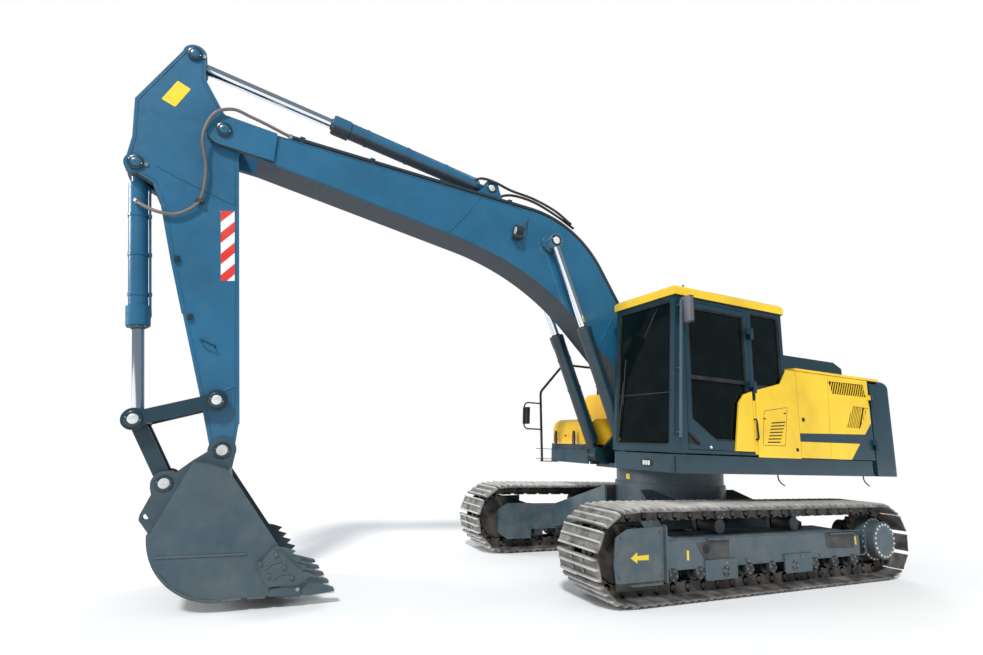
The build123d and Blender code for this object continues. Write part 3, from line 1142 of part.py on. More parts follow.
# Arm
with BuildPart() as arm:
    with BuildSketch(side(ARM_HALF)) as arm_side:
        with BuildLine():
            Polyline(*ARM_REAR, *ARM_FRONT, close=True)
        make_face()
    extrude(arm_side.sketch, amount=2 * ARM_HALF)
    with BuildSketch(side(ARM_HALF - ARM_PLATE)) as arm_void:
        add(arm_side.sketch_local)
        offset(amount=-ARM_PLATE, mode=Mode.REPLACE)
    extrude(arm_void.sketch, amount=2 * (ARM_HALF - ARM_PLATE), mode=Mode.SUBTRACT)
    discs(CROWD_EYE, TOP_BOSS, CROWD_EAR_IN, ARM_HALF)
    block(TOP_SLOT[0], TOP_SLOT[1], -CROWD_EAR_IN, CROWD_EAR_IN, TOP_SLOT[2], TOP_SLOT[3], Mode.SUBTRACT)
    slab(CURL_SLOT, -CROWD_EAR_IN, CROWD_EAR_IN, Mode.SUBTRACT)
    discs(CURL_FOOT, CURL_BOSS, CROWD_EAR_IN, ARM_HALF)
    discs(CURL_FOOT, CAP_R, ARM_HALF, ARM_HALF + CAP_OUT)
    disc(CURL_FOOT, CURL_PIN, -CROWD_EAR_IN, CROWD_EAR_IN)
    disc(ARM_PIVOT, ARM_BOSS, -ARM_HALF, ARM_HALF)
    disc(ARM_PIVOT, ARM_PIN + PIN_GAP, -ARM_HALF, ARM_HALF, Mode.SUBTRACT)
    disc(LEVER_PIVOT, LEVER_BOSS, -ARM_HALF, ARM_HALF)
    disc(LEVER_PIVOT, LEVER_PIN + PIN_GAP, -ARM_HALF, ARM_HALF, Mode.SUBTRACT)
    disc(BUCKET_PIVOT, TIP_BOSS, -ARM_HALF, ARM_HALF)
    disc(BUCKET_PIVOT, BUCKET_PIN + PIN_GAP, -ARM_HALF, ARM_HALF, Mode.SUBTRACT)
    discs(CROWD_EYE, CAP_R, ARM_HALF, ARM_HALF + CAP_OUT)
keep("arm", arm.part)

# Bucket cylinder
with BuildPart() as curl_barrel:
    disc(CURL_FOOT, CURL_EYE_R, -CURL_HALF, CURL_HALF)
    barrel(CURL_FOOT, LINK_PIVOT, 0, (CURL_NECK, CURL_BARREL), (CURL_HALF, CURL_BARREL_R, CURL_ROD_R))
    disc(CURL_FOOT, CURL_PIN + PIN_GAP, -CURL_HALF, CURL_HALF, Mode.SUBTRACT)
keep("curl_barrel", curl_barrel.part)

with BuildPart() as curl_rod:
    rod(along(CURL_FOOT, LINK_PIVOT, CURL_ROD_START), LINK_PIVOT, 0, CURL_ROD_R)
    disc(LINK_PIVOT, CURL_EYE_R, -CURL_HALF, CURL_HALF)
keep("curl_rod", curl_rod.part)

# Bucket linkage
with BuildPart() as tilt_levers:
    for low in (LEVER_IN, -LEVER_IN - LEVER_THICK):
        strap(LEVER_PIVOT, LINK_PIVOT, LEVER_WAIST, low, low + LEVER_THICK)
        disc(LEVER_PIVOT, LEVER_R, low, low + LEVER_THICK)
        disc(LINK_PIVOT, LEVER_R, low, low + LEVER_THICK)
    disc(LEVER_PIVOT, LEVER_PIN, -LEVER_IN, LEVER_IN)
    discs(LEVER_PIVOT, CAP_R, LEVER_IN + LEVER_THICK, LEVER_IN + LEVER_THICK + CAP_OUT)
    discs(LINK_PIVOT, CAP_R, LEVER_IN + LEVER_THICK, LEVER_IN + LEVER_THICK + CAP_OUT)
keep("tilt_levers", tilt_levers.part)

with BuildPart() as bucket_link:
    for low in (LINK_WEB_IN, -LINK_WEB_OUT):
        strap(LINK_PIVOT, LINK_END, LINK_WAIST, low, low + LINK_WEB_OUT - LINK_WEB_IN)
    disc(LINK_END, LINK_R, -ARM_HALF, ARM_HALF)
    discs(LINK_PIVOT, LINK_R, LINK_IN, LEVER_IN - MOVE_GAP)
    disc(LINK_END, LINK_PIN + PIN_GAP, -ARM_HALF, ARM_HALF, Mode.SUBTRACT)
keep("bucket_link", bucket_link.part)

# Bucket
with BuildPart() as bucket:
    with BuildSketch(side(BUCKET_HALF)) as bucket_side:
        with BuildLine():
            Polyline(*BUCKET_TOP, BUCKET_BACK[0])
            ThreePointArc(*BUCKET_BACK)
            Polyline(BUCKET_BACK[2], *BUCKET_LIP, BUCKET_TOP[0])
        make_face()
    extrude(bucket_side.sketch, amount=2 * BUCKET_HALF)
    with BuildSketch(side(BUCKET_HALF - BUCKET_SIDE)) as bucket_void:
        with BuildLine():
            Polyline(*BUCKET_VOID_TOP, BUCKET_VOID_BACK[0])
            ThreePointArc(*BUCKET_VOID_BACK)
            Polyline(BUCKET_VOID_BACK[2], *BUCKET_VOID_LIP, BUCKET_VOID_TOP[0])
        make_face()
    extrude(bucket_void.sketch, amount=2 * (BUCKET_HALF - BUCKET_SIDE), mode=Mode.SUBTRACT)
    slabs(EAR, EAR_IN, EAR_OUT)
    discs(BUCKET_PIVOT, EAR_BOSS, EAR_IN, EAR_OUT)
    discs(LINK_END, EAR_END_R, EAR_IN, EAR_OUT)
    discs(EAR_HOLE, EAR_HOLE_R, EAR_IN, EAR_OUT, Mode.SUBTRACT)
    disc(BUCKET_PIVOT, BUCKET_PIN, -EAR_IN, EAR_IN)
    disc(LINK_END, LINK_PIN, -EAR_IN, EAR_IN)
    discs(BUCKET_PIVOT, CAP_R, EAR_OUT, EAR_OUT + CAP_OUT / 3)
    discs(LINK_END, CAP_R, EAR_OUT, EAR_OUT + CAP_OUT / 3)
    for step in range(TOOTH_COUNT):
        low = (BUCKET_HALF - TOOTH_WIDTH / 2) * (2 * step / (TOOTH_COUNT - 1) - 1) - TOOTH_WIDTH / 2
        slab(TOOTH, low, low + TOOTH_WIDTH)
    saw = []
    for step in range(CUTTER_TEETH):
        notch = between(CUTTER[-1], CUTTER_TIP, step / CUTTER_TEETH)
        crest = between(CUTTER[-1], CUTTER_TIP, (step + 1) / CUTTER_TEETH)
        saw += [(notch[0], notch[1]), (crest[0] - CUTTER_STEP, crest[1] + CUTTER_STEP)]
    slabs([*CUTTER, *saw[1:], CUTTER_TIP], BUCKET_HALF, BUCKET_HALF + CUTTER_THICK)
    band = (2 * BUCKET_HALF - HEEL_NOTCH * (HEEL_BANDS - 1)) / HEEL_BANDS
    for step in range(HEEL_BANDS):
        low = step * (band + HEEL_NOTCH) - BUCKET_HALF
        with BuildSketch(side(low + band)) as heel:
            with BuildLine():
                ThreePointArc(*BUCKET_BACK)
                Line(BUCKET_BACK[2], (BUCKET_BACK[2][0], BUCKET_BACK[2][1] - HEEL_THICK))
                ThreePointArc((BUCKET_BACK[2][0], BUCKET_BACK[2][1] - HEEL_THICK),
                              (BUCKET_BACK[1][0] + HEEL_THICK * DIAGONAL,
                               BUCKET_BACK[1][1] - HEEL_THICK * DIAGONAL),
                              (BUCKET_BACK[0][0] + HEEL_THICK, BUCKET_BACK[0][1]))
                Line((BUCKET_BACK[0][0] + HEEL_THICK, BUCKET_BACK[0][1]), BUCKET_BACK[0])
            make_face()
        extrude(heel.sketch, amount=band)
keep("bucket", bucket.part)
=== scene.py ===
"""Crawler excavator: finishes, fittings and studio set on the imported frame."""

import logging
import math
from collections.abc import Callable
from dataclasses import dataclass
from enum import Enum

import bmesh
import bpy
import numpy as np
from mathutils import Matrix

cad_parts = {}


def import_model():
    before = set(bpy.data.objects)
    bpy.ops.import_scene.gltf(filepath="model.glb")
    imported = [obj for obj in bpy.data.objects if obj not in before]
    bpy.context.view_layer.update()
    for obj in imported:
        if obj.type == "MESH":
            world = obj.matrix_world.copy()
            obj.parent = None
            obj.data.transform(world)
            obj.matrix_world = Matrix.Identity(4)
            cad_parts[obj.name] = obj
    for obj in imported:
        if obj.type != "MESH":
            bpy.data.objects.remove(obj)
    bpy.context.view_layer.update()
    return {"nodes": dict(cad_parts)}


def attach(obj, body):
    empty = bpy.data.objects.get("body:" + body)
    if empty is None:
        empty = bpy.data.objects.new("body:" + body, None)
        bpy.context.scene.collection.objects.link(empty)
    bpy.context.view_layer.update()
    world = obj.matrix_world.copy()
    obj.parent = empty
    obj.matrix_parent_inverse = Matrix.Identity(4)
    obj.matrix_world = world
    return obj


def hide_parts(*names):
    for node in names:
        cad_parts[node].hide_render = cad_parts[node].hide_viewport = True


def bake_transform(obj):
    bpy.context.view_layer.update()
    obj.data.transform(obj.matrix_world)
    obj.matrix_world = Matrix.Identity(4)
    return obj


LOG = logging.getLogger("excavator")
Array = np.ndarray
# The swing axis stands this far from the frame's origin, in millimetres.
SWING_X = -1670.0
MM = 0.001
LEFT = 1.0
RIGHT = -1.0
ORIGIN = (0.0, 0.0, 0.0)
FORWARD = (1.0, 0.0, 0.0)
ACROSS = (0.0, 1.0, 0.0)
UP = (0.0, 0.0, 1.0)
# Edges sharper than this angle in degrees stay sharp in the shading.
SHARP_ANGLE = 38.0
# Two colours of paint meet over this width in metres.
PARTING_WIDTH = 0.002
# Colour sockets of a Mix node.
MIX_FIRST, MIX_SECOND, MIX_RESULT = 6, 7, 2
# Distance between the points of a weld, in millimetres.
BEAD_STEP = 9.0

WHITE = (1.0, 1.0, 1.0, 1.0)
# Painted shade on faces that look down.
UNDERSIDE_SHADE = (0.034, 0.029, 0.025, 1.0)
BARE_CHIP = (0.09, 0.085, 0.08, 1.0)
RUST = (0.19, 0.105, 0.055, 1.0)
SOFT_DUST = (0.22, 0.2, 0.18, 1.0)
PANE_DUST = (0.2, 0.2, 0.19, 1.0)
SHEET_DUST = (0.3, 0.28, 0.25, 1.0)
YELLOW_TONE = (0.88, 0.565, 0.026)
HOUSE_TONE = (0.006, 0.034, 0.052)


class Body(Enum):
    """Bodies of the frame that fittings ride on."""

    UNDERCARRIAGE = "undercarriage"
    HOUSE = "house"
    CAB_DOOR = "cab_door"
    LEFT_DOOR = "left_side_door"
    RIGHT_DOOR = "right_side_door"
    HOOD = "engine_hood"
    LID = "tool_box_lid"
    BOOM = "boom"
    LIFT_BARRELS = "lift_barrels"
    LIFT_RODS = "lift_rods"
    CROWD_BARREL = "crowd_barrel"
    ARM = "arm"
    CURL_BARREL = "curl_barrel"
    LEVERS = "tilt_levers"
    BUCKET = "bucket"


class Pin(Enum):
    """Pivots in the side view: length and height in mm from the swing axis on the ground."""

    BOOM_FOOT = (250.0, 1770.0)
    LIFT_FOOT = (900.0, 1240.0)
    LIFT_EYE = (1926.0, 3656.0)
    ARM = (5460.0, 4050.0)
    CROWD_FOOT = (2670.0, 4225.0)
    CROWD_EYE = (5799.0, 4768.0)
    BUCKET = (5107.0, 1180.0)
    LEVER = (5200.0, 1591.0)
    LINK = (5770.0, 1404.0)
    LINK_END = (5492.0, 909.0)
    CURL_FOOT = (6093.0, 3582.0)


class Signal:
    """A shader value that takes part in Python arithmetic."""

    def __init__(self, recipe: "Recipe", socket: bpy.types.NodeSocket) -> None:
        """Keep the recipe the value belongs to and its socket."""
        self.recipe = recipe
        self.socket = socket

    def math(self, operation: str, *terms: "Signal | float") -> "Signal":
        """Join values by one Math node.

        Args:
            operation: Name of the Math operation.
            terms: Its operands in order, signals or plain numbers.

        Returns:
            The node's result.
        """
        settings = {"operation": operation}
        return self.recipe.node("ShaderNodeMath", settings, dict(enumerate(terms)))

    def __add__(self, other: "Signal | float") -> "Signal":
        """Sum."""
        return self.math("ADD", self, other)

    def __radd__(self, other: float) -> "Signal":
        """Sum with a number in front."""
        return self.math("ADD", other, self)

    def __sub__(self, other: "Signal | float") -> "Signal":
        """Difference."""
        return self.math("SUBTRACT", self, other)

    def __rsub__(self, other: float) -> "Signal":
        """Difference from a number in front."""
        return self.math("SUBTRACT", other, self)

    def __mul__(self, other: "Signal | float") -> "Signal":
        """Product."""
        return self.math("MULTIPLY", self, other)

    def __rmul__(self, other: float) -> "Signal":
        """Product with a number in front."""
        return self.math("MULTIPLY", other, self)

    def __truediv__(self, other: "Signal | float") -> "Signal":
        """Quotient."""
        return self.math("DIVIDE", self, other)

    def step(self, low: float, high: float) -> "Signal":
        """Ramp that rises from 0 at low to 1 at high, or falls where low is above high.

        Args:
            low: Value that gives 0.
            high: Value that gives 1.

        Returns:
            The clamped ramp.
        """
        ramp = (self - low) / (high - low)
        return ramp.math("MINIMUM", ramp.math("MAXIMUM", ramp, 0.0), 1.0)

    def held(self) -> "Signal":
        """Value held between 0 and 1."""
        return self.step(0.0, 1.0)

    def above(self) -> "Signal":
        """1 where the value is above zero, with the edge of a paint line."""
        return self.step(0.0, PARTING_WIDTH)


class Recipe:
    """Node tree of one material or of the world."""

    def __init__(self, name: str, owner: "bpy.types.ID | None" = None) -> None:
        """Start an empty tree in a new material, or in the world that is handed in.

        Args:
            name: Name of the new material.
            owner: World that takes the tree instead, or none.
        """
        self.material = owner or bpy.data.materials.new(name)
        self.material.use_nodes = True
        self.tree = self.material.node_tree
        self.tree.nodes.clear()

    def node(self, kind: str, settings: dict, sockets: dict,
             result: "int | str" = 0) -> "Signal | None":
        """Add a node, set its properties first, then its sockets.

        Args:
            kind: Node type.
            settings: Properties by name.
            sockets: Values or signals by socket name or number.
            result: Name or number of the output that is handed back.

        Returns:
            That output, or none where the node has no output.
        """
        made = self.tree.nodes.new(kind)
        for name, value in settings.items():
            setattr(made, name, value)
        for key, value in sockets.items():
            if isinstance(value, Signal):
                self.tree.links.new(value.socket, made.inputs[key])
            else:
                made.inputs[key].default_value = value
        return Signal(self, made.outputs[result]) if made.outputs else None

    def place(self) -> Signal:
        """Position on the resting object in metres."""
        return self.node("ShaderNodeTexCoord", {}, {}, "Object")

    def part(self, vector: Signal, name: str) -> Signal:
        """One coordinate of a vector."""
        return self.node("ShaderNodeSeparateXYZ", {}, {0: vector}, name)

    def height(self) -> Signal:
        """Height above the ground of the resting object in metres."""
        return self.part(self.place(), "Z")

    def length(self) -> Signal:
        """Distance forward of the resting object's middle in metres."""
        return self.part(self.place(), "X")

    def across(self) -> Signal:
        """Distance to the left of the resting object's middle in metres."""
        return self.part(self.place(), "Y")

    def facing_up(self) -> Signal:
        """How far the surface looks upwards, from -1 to 1."""
        return self.part(self.node("ShaderNodeNewGeometry", {}, {}, "Normal"), "Z")

    def ray(self, kind: str) -> Signal:
        """1 for rays of a kind, such as Is Camera Ray."""
        return self.node("ShaderNodeLightPath", {}, {}, kind)

    def noise(self, scale: float, detail: float = 4.0,
              stretch: tuple = (1.0, 1.0, 1.0)) -> Signal:
        """Cloudy noise.

        Args:
            scale: Cells per metre.
            detail: Number of finer layers.
            stretch: Factors of the three directions before the noise is looked up.

        Returns:
            Value between 0 and 1.
        """
        settings = {"operation": "MULTIPLY"}
        where = self.node("ShaderNodeVectorMath", settings, {0: self.place(), 1: stretch})
        sockets = {"Vector": where, "Scale": scale, "Detail": detail}
        return self.node("ShaderNodeTexNoise", {}, sockets)

    def ribs(self, direction: str, scale: float) -> Signal:
        """Even waves along one direction.

        Args:
            direction: X, Y or Z.
            scale: Density of the waves.

        Returns:
            Value between 0 and 1.
        """
        settings = {"wave_type": "BANDS", "bands_direction": direction}
        sockets = {"Vector": self.place(), "Scale": scale}
        return self.node("ShaderNodeTexWave", settings, sockets, "Fac")

    def blend(self, share: Signal, first: "Signal | tuple", second: "Signal | tuple") -> Signal:
        """Mix of two colours.

        Args:
            share: 0 for the first, 1 for the second.
            first: Colour, plain or signal.
            second: Colour, plain or signal.

        Returns:
            The mixed colour.
        """
        sockets = {0: share, MIX_FIRST: first, MIX_SECOND: second}
        return self.node("ShaderNodeMix", {"data_type": "RGBA"}, sockets, MIX_RESULT)

    def tones(self, share: Signal, colour: tuple, dark: float, light: float) -> Signal:
        """Colour that wavers between two shades of itself.

        Args:
            share: 0 for the darker shade, 1 for the lighter one.
            colour: Plain colour.
            dark: Factor of the darker shade.
            light: Factor of the lighter shade.

        Returns:
            The mixed colour.
        """
        return self.blend(share, shade(colour, dark), shade(colour, light))

    def bump(self, height: Signal, strength: float, depth: float) -> Signal:
        """Normal bent by a height.

        Args:
            height: Relief from 0 to 1.
            strength: Share of the effect.
            depth: Height of the relief in metres.

        Returns:
            The bent normal.
        """
        sockets = {"Strength": strength, "Distance": depth, "Height": height}
        return self.node("ShaderNodeBump", {}, sockets)

    def surface(self, sockets: dict) -> bpy.types.Material:
        """Close the tree with one Principled surface.

        Args:
            sockets: Values or signals of the surface by socket name.

        Returns:
            The finished material.
        """
        shader = self.node("ShaderNodeBsdfPrincipled", {}, sockets)
        self.node("ShaderNodeOutputMaterial", {}, {"Surface": shader})
        return self.material


def rgba(colour: tuple) -> tuple:
    """Colour with full cover."""
    return (*colour, 1.0)


def shade(colour: tuple, factor: float) -> tuple:
    """Colour made lighter or darker by a factor."""
    return rgba(tuple(min(1.0, part * factor) for part in colour))


@dataclass(frozen=True)
class Paint:
    """Gloss machine paint: cloudy tone, fine peel, dust low down and on ledges, small chips,
    painted shade on undersides.
    """

    name: str
    colour: tuple
    gloss: float = 0.3
    dust: float = 0.3
    chips: float = 0.1
    coat: float = 0.4
    dirt: tuple = (0.26, 0.23, 0.19)
    second: "tuple | None" = None
    # Width from the middle inside which the paint turns almost black: painted shade in slots and
    # grille gaps, which also darkens the covers' inner faces.
    shade_depth: float = 0.0
    slope: float = 0.0

    def parting(self, recipe: Recipe) -> Signal:
        """Where the second colour lies: a band along the side and all behind a slanted line.

        Each line is a height or length, in metres from the swing axis, that changes evenly.

        Args:
            recipe: Node tree of the material.

        Returns:
            1 on the second colour, 0 elsewhere.
        """
        x, z = recipe.length() - SWING_X * MM, recipe.height()
        over_low = z - (1.4665 - 0.0122 * x)
        under_high = (1.5490 - 0.0297 * x) - z
        behind_start = (-0.5230 - 0.5376 * (z - 1.473)) - x
        band = over_low.above() * under_high.above() * behind_start.above()
        slant = (-1.5640 - 1.0016 * (z - 1.336)) - x
        upper = (z - 1.957).above()
        rear = (-2.186 + 0.3806 * (z - 1.957)) - x
        tail = slant.above() * (1.0 - upper) + rear.above() * upper
        hinge = (-1.970 - x).above()
        return (band + tail + hinge).held()

    def tone(self, recipe: Recipe) -> Signal:
        """Colour of the clean paint.

        Args:
            recipe: Node tree of the material.

        Returns:
            Cloudy colour with the second colour and the painted shade of slots and gaps where it
            has them.
        """
        cloud = recipe.noise(1.7, 5.0).step(0.3, 0.7)
        tone = recipe.tones(cloud, self.colour, 0.86, 1.14)
        if self.second:
            other = recipe.tones(cloud, self.second, 0.86, 1.14)
            tone = recipe.blend(self.parting(recipe), tone, other)
        # Painted shade: surfaces nearer the middle than this width, such as slot floors, grille
        # gaps and inner faces, turn almost black.
        if self.shade_depth:
            width = recipe.across() * recipe.across()
            inside = width.step(self.shade_depth**2, (self.shade_depth - 0.001)**2)
            tone = recipe.blend(inside, tone, shade(self.colour, 0.1))
        return tone

    def material(self) -> bpy.types.Material:
        """Make the material.

        Returns:
            Painted material with dust and chips.
        """
        recipe = Recipe(self.name)
        # Painted shade: faces that look down darken towards a near-black brown.
        under = recipe.facing_up().step(-0.15, -0.6)
        tone = recipe.blend(under * 0.85, self.tone(recipe), UNDERSIDE_SHADE)
        low = recipe.height().step(1.9, 0.2)
        ledge = recipe.facing_up().step(0.35, 0.95)
        film = recipe.noise(6.0, 8.0).step(0.34, 0.72)
        streak = recipe.noise(9.0, 4.0, (1.0, 1.0, 0.12)).step(0.45, 0.8)
        dust = (film * (0.25 + low * 0.75 + ledge * 0.5) + streak * low * 0.35) * self.dust
        dusty = recipe.blend(dust.held(), tone, rgba(self.dirt))
        chip = recipe.noise(38.0, 6.0).step(0.69, 0.73) * (0.25 + low) * self.chips
        peel = recipe.noise(260.0, 2.0)
        relief = peel * 0.00007
        if self.slope:
            relief = relief - (recipe.height() - self.slope).step(0.0, 0.4) * 0.08
        smear = recipe.noise(14.0, 5.0).step(0.4, 0.9) * 0.1
        rough = self.gloss + dust * 0.55 + under * 0.4 + (peel - 0.5) * 0.06 + smear
        return recipe.surface({
            "Base Color": recipe.blend(chip.held(), dusty, BARE_CHIP),
            "Roughness": rough.held(),
            "Coat Weight": (1.0 - dust - under).held() * self.coat,
            "Coat Roughness": 0.12,
            "Normal": recipe.bump(relief, 1.0, 1.0)})


@dataclass(frozen=True)
class Metal:
    """Bare or cast metal: cloudy tone between two greys, rust film and fine scratches."""

    name: str
    dark: tuple
    light: tuple
    rough: float = 0.45
    metallic: float = 0.85
    rust: float = 0.15
    grain: float = 0.3
    worn: bool = False

    def material(self) -> bpy.types.Material:
        """Make the material.

        Returns:
            Metal material with rust and scratches.
        """
        recipe = Recipe(self.name)
        cloud = recipe.noise(7.0, 8.0).step(0.28, 0.72)
        if self.worn:
            wear = recipe.node("ShaderNodeAttribute", {"attribute_name": "wear"}, {}, "Fac")
            cloud = (wear * 0.75 + cloud * 0.45 - 0.1).held()
        tone = recipe.blend(cloud, rgba(self.dark), rgba(self.light))
        rust = recipe.noise(11.0, 9.0).step(0.5, 0.78) * self.rust
        scratch = recipe.noise(90.0, 3.0, (0.2, 1.0, 1.0))
        rough = self.rough + rust * 0.3 + (scratch - 0.5) * 0.16
        grain = recipe.noise(120.0, 6.0)
        return recipe.surface({
            "Base Color": recipe.blend(rust.held(), tone, RUST),
            "Roughness": rough.held(),
            "Metallic": (1.0 - rust * 0.8).held() * self.metallic,
            "Normal": recipe.bump(grain, self.grain, 0.0012)})


@dataclass(frozen=True)
class Soft:
    """Rubber, plastic or cloth: dull dark tone with a fine relief and a film of dust."""

    name: str
    colour: tuple
    rough: float = 0.6
    relief: float = 300.0
    depth: float = 0.0006
    dust: float = 0.25
    weave: bool = False

    def material(self) -> bpy.types.Material:
        """Make the material.

        Returns:
            Dull material with fine relief.
        """
        recipe = Recipe(self.name)
        film = recipe.noise(8.0, 7.0).step(0.4, 0.8) * self.dust
        tone = recipe.tones(recipe.noise(3.0).step(0.3, 0.7), self.colour, 0.8, 1.25)
        fine = recipe.noise(self.relief, 2.0)
        if self.weave:
            fine = recipe.ribs("Y", 90.0) * recipe.ribs("Z", 90.0) * 0.8 + fine * 0.2
        rough = self.rough + film * 0.3 + (fine - 0.5) * 0.1
        return recipe.surface({
            "Base Color": recipe.blend(film.held(), tone, SOFT_DUST),
            "Roughness": rough.held(),
            "Normal": recipe.bump(fine, 0.4, self.depth)})


@dataclass(frozen=True)
class Glass:
    """Dark tinted pane with faint clouds of dust."""

    name: str
    colour: tuple = (0.002, 0.005, 0.005)
    cover: float = 0.965

    def material(self) -> bpy.types.Material:
        """Make the material.

        Returns:
            Tinted, partly see-through material.
        """
        recipe = Recipe(self.name)
        film = recipe.noise(5.0, 7.0).step(0.45, 0.85)
        return recipe.surface({
            "Base Color": recipe.blend(film * 0.02, rgba(self.colour), PANE_DUST),
            "Roughness": film * 0.07 + 0.02,
            "Alpha": (film * 0.06 + self.cover).held(),
            "Specular IOR Level": 0.2})


@dataclass(frozen=True)
class Stripes:
    """Slanted bands of two colours on a sheet, with dust."""

    name: str
    first: tuple
    second: tuple
    width: float
    slope: float
    shift: float

    def material(self) -> bpy.types.Material:
        """Make the material.

        Returns:
            Banded material on length and height.
        """
        recipe = Recipe(self.name)
        phase = (recipe.height() + recipe.length() * self.slope + self.shift) / self.width
        band = phase.math("FRACT", phase).step(0.49, 0.51)
        colour = recipe.blend(band, rgba(self.first), rgba(self.second))
        film = recipe.noise(9.0, 7.0).step(0.4, 0.85)
        worn = recipe.blend(film * 0.16, colour, SHEET_DUST)
        return recipe.surface({"Base Color": worn, "Roughness": film * 0.2 + 0.35})


@dataclass(frozen=True)
class Lens:
    """Clear or coloured lamp lens with fine ribs."""

    name: str
    colour: tuple
    ribs: float = 160.0

    def material(self) -> bpy.types.Material:
        """Make the material.

        Returns:
            Glossy ribbed lens.
        """
        recipe = Recipe(self.name)
        rib = recipe.ribs("Z", self.ribs)
        film = recipe.noise(20.0, 5.0).step(0.4, 0.9)
        return recipe.surface({
            "Base Color": recipe.tones(rib, self.colour, 0.75, 1.15),
            "Roughness": film * 0.15 + 0.06,
            "Coat Weight": 0.7,
            "Normal": recipe.bump(rib, 0.35, 0.0015)})


class Finish(Enum):
    """All finishes of the machine."""

    TEAL = Paint("teal_gloss", (0.012, 0.118, 0.225), 0.3, 0.14, 0.05)
    TEAL_HOUSE = Paint("teal_house", HOUSE_TONE, 0.3, 0.07, 0.05, 0.25)
    TEAL_LOW = Paint("teal_low", (0.038, 0.074, 0.096), 0.42, 0.28, 0.22, 0.2)
    # Painted shade of the step pockets.
    POCKET = Paint("pocket_shade", (0.012, 0.02, 0.026), 0.5, 0.3, 0.1, 0.1)
    TEAL_TOOL = Paint("teal_tool", (0.028, 0.064, 0.088), 0.46, 0.2, 0.3, 0.15)
    YELLOW = Paint("yellow_gloss", YELLOW_TONE, 0.3, 0.06, 0.03, 0.5)
    YELLOW_COVER = Paint("yellow_cover", YELLOW_TONE, 0.3, 0.06, 0.03, 0.5,
                         shade_depth=1.3505, slope=1.976)
    YELLOW_BAND = Paint("yellow_banded", YELLOW_TONE, 0.3, 0.06, 0.03, 0.5,
                        second=HOUSE_TONE, shade_depth=1.3505, slope=1.984)
    ORANGE = Paint("orange_gloss", (0.95, 0.52, 0.02), 0.3, 0.06, 0.03, 0.5)
    SIGN = Paint("sign_yellow", (0.84, 0.62, 0.02), 0.4, 0.12, 0.05, 0.2)
    SHOE = Metal("shoe_steel", (0.055, 0.051, 0.048), (0.57, 0.55, 0.52), 0.6, 0.1, 0.1, 0.5, True)
    CHAIN = Metal("chain_steel", (0.035, 0.032, 0.03), (0.14, 0.13, 0.12), 0.55, 0.5, 0.3, 0.5)
    DARK = Metal("dark_steel_paint", (0.018, 0.022, 0.026), (0.05, 0.056, 0.062),
                 0.5, 0.15, 0.12, 0.3)
    IRON = Metal("engine_cast", (0.06, 0.06, 0.06), (0.16, 0.155, 0.15), 0.6, 0.4, 0.25, 0.6)
    # Bluish tint and part-diffuse surface: painted reflection of the sky on the rods and the mirror
    # pane.
    CHROME = Metal("rod_chrome", (0.58, 0.7, 0.86), (0.74, 0.84, 0.96), 0.16, 0.55, 0.0, 0.03)
    BRIGHT = Metal("pin_bright", (0.6, 0.6, 0.59), (0.86, 0.86, 0.84), 0.35, 0.3, 0.04, 0.15)
    ZINC = Metal("bolt_zinc", (0.22, 0.22, 0.22), (0.46, 0.46, 0.45), 0.4, 0.85, 0.12, 0.2)
    BLACK = Soft("black_plastic", (0.012, 0.012, 0.013), 0.45, 320.0, 0.0004, 0.15)
    RUBBER = Soft("hose_rubber", (0.013, 0.013, 0.013), 0.55, 260.0, 0.0006, 0.25)
    HOSE = Soft("hose_sleeve", (0.15, 0.135, 0.125), 0.5, 240.0, 0.0012, 0.2, True)
    SEAL = Soft("window_seal", (0.006, 0.006, 0.006), 0.6, 300.0, 0.0004, 0.1)
    GREY = Soft("grey_plastic", (0.1, 0.1, 0.118), 0.4, 320.0, 0.0004, 0.1)
    CLOTH = Soft("seat_cloth", (0.028, 0.03, 0.032), 0.85, 400.0, 0.0008, 0.1, True)
    GLASS = Glass("cab_glass_tint")
    STRIPES = Stripes("stripe_red_white", (0.72, 0.03, 0.02), (0.85, 0.85, 0.83),
                      0.23, 1.3, 0.0426)
    LENS = Lens("lamp_lens", (0.62, 0.64, 0.66))
    RED = Lens("red_lens", (0.5, 0.02, 0.015))

    def material(self) -> bpy.types.Material:
        """The finish as a material, made once."""
        return bpy.data.materials.get(self.value.name) or self.value.material()


NODE_FINISH: dict[Finish, tuple[str, ...]] = {
    Finish.TEAL: ("arm", "boom", "crowd_barrel", "curl_barrel"),
    Finish.TEAL_HOUSE: (
        "cab_shell", "cab_door", "counterweight", "engine_hood", "main_frame", "bucket_link",
        "lift_barrels", "tilt_levers", "boom_pipes"),
    Finish.TEAL_LOW: (
        "left_track_frame", "right_track_frame", "car_body", "final_drives", "roller_guards",
        "swing_bearing", "cab_handrail"),
    Finish.TEAL_TOOL: ("bucket",),
    Finish.YELLOW: ("cab_roof", "door_panel", "hood_wings"),
    Finish.YELLOW_COVER: ("left_front_panel", "right_front_panel"),
    Finish.YELLOW_BAND: ("left_side_door", "right_side_door"),
    Finish.ORANGE: ("tool_box_lid", "fuel_tank"),
    Finish.CHAIN: ("left_track", "right_track", "sprockets", "idlers"),
    Finish.DARK: ("track_rollers", "carrier_rollers", "tool_box"),
    Finish.IRON: ("engine",),
    Finish.CHROME: ("crowd_rod", "curl_rod", "lift_rods"),
    Finish.GLASS: ("cab_glass", "door_glass"),
    Finish.BLACK: ("mirrors", "consoles", "right_handrail", "work_lamps"),
    Finish.CLOTH: ("seat",),
}


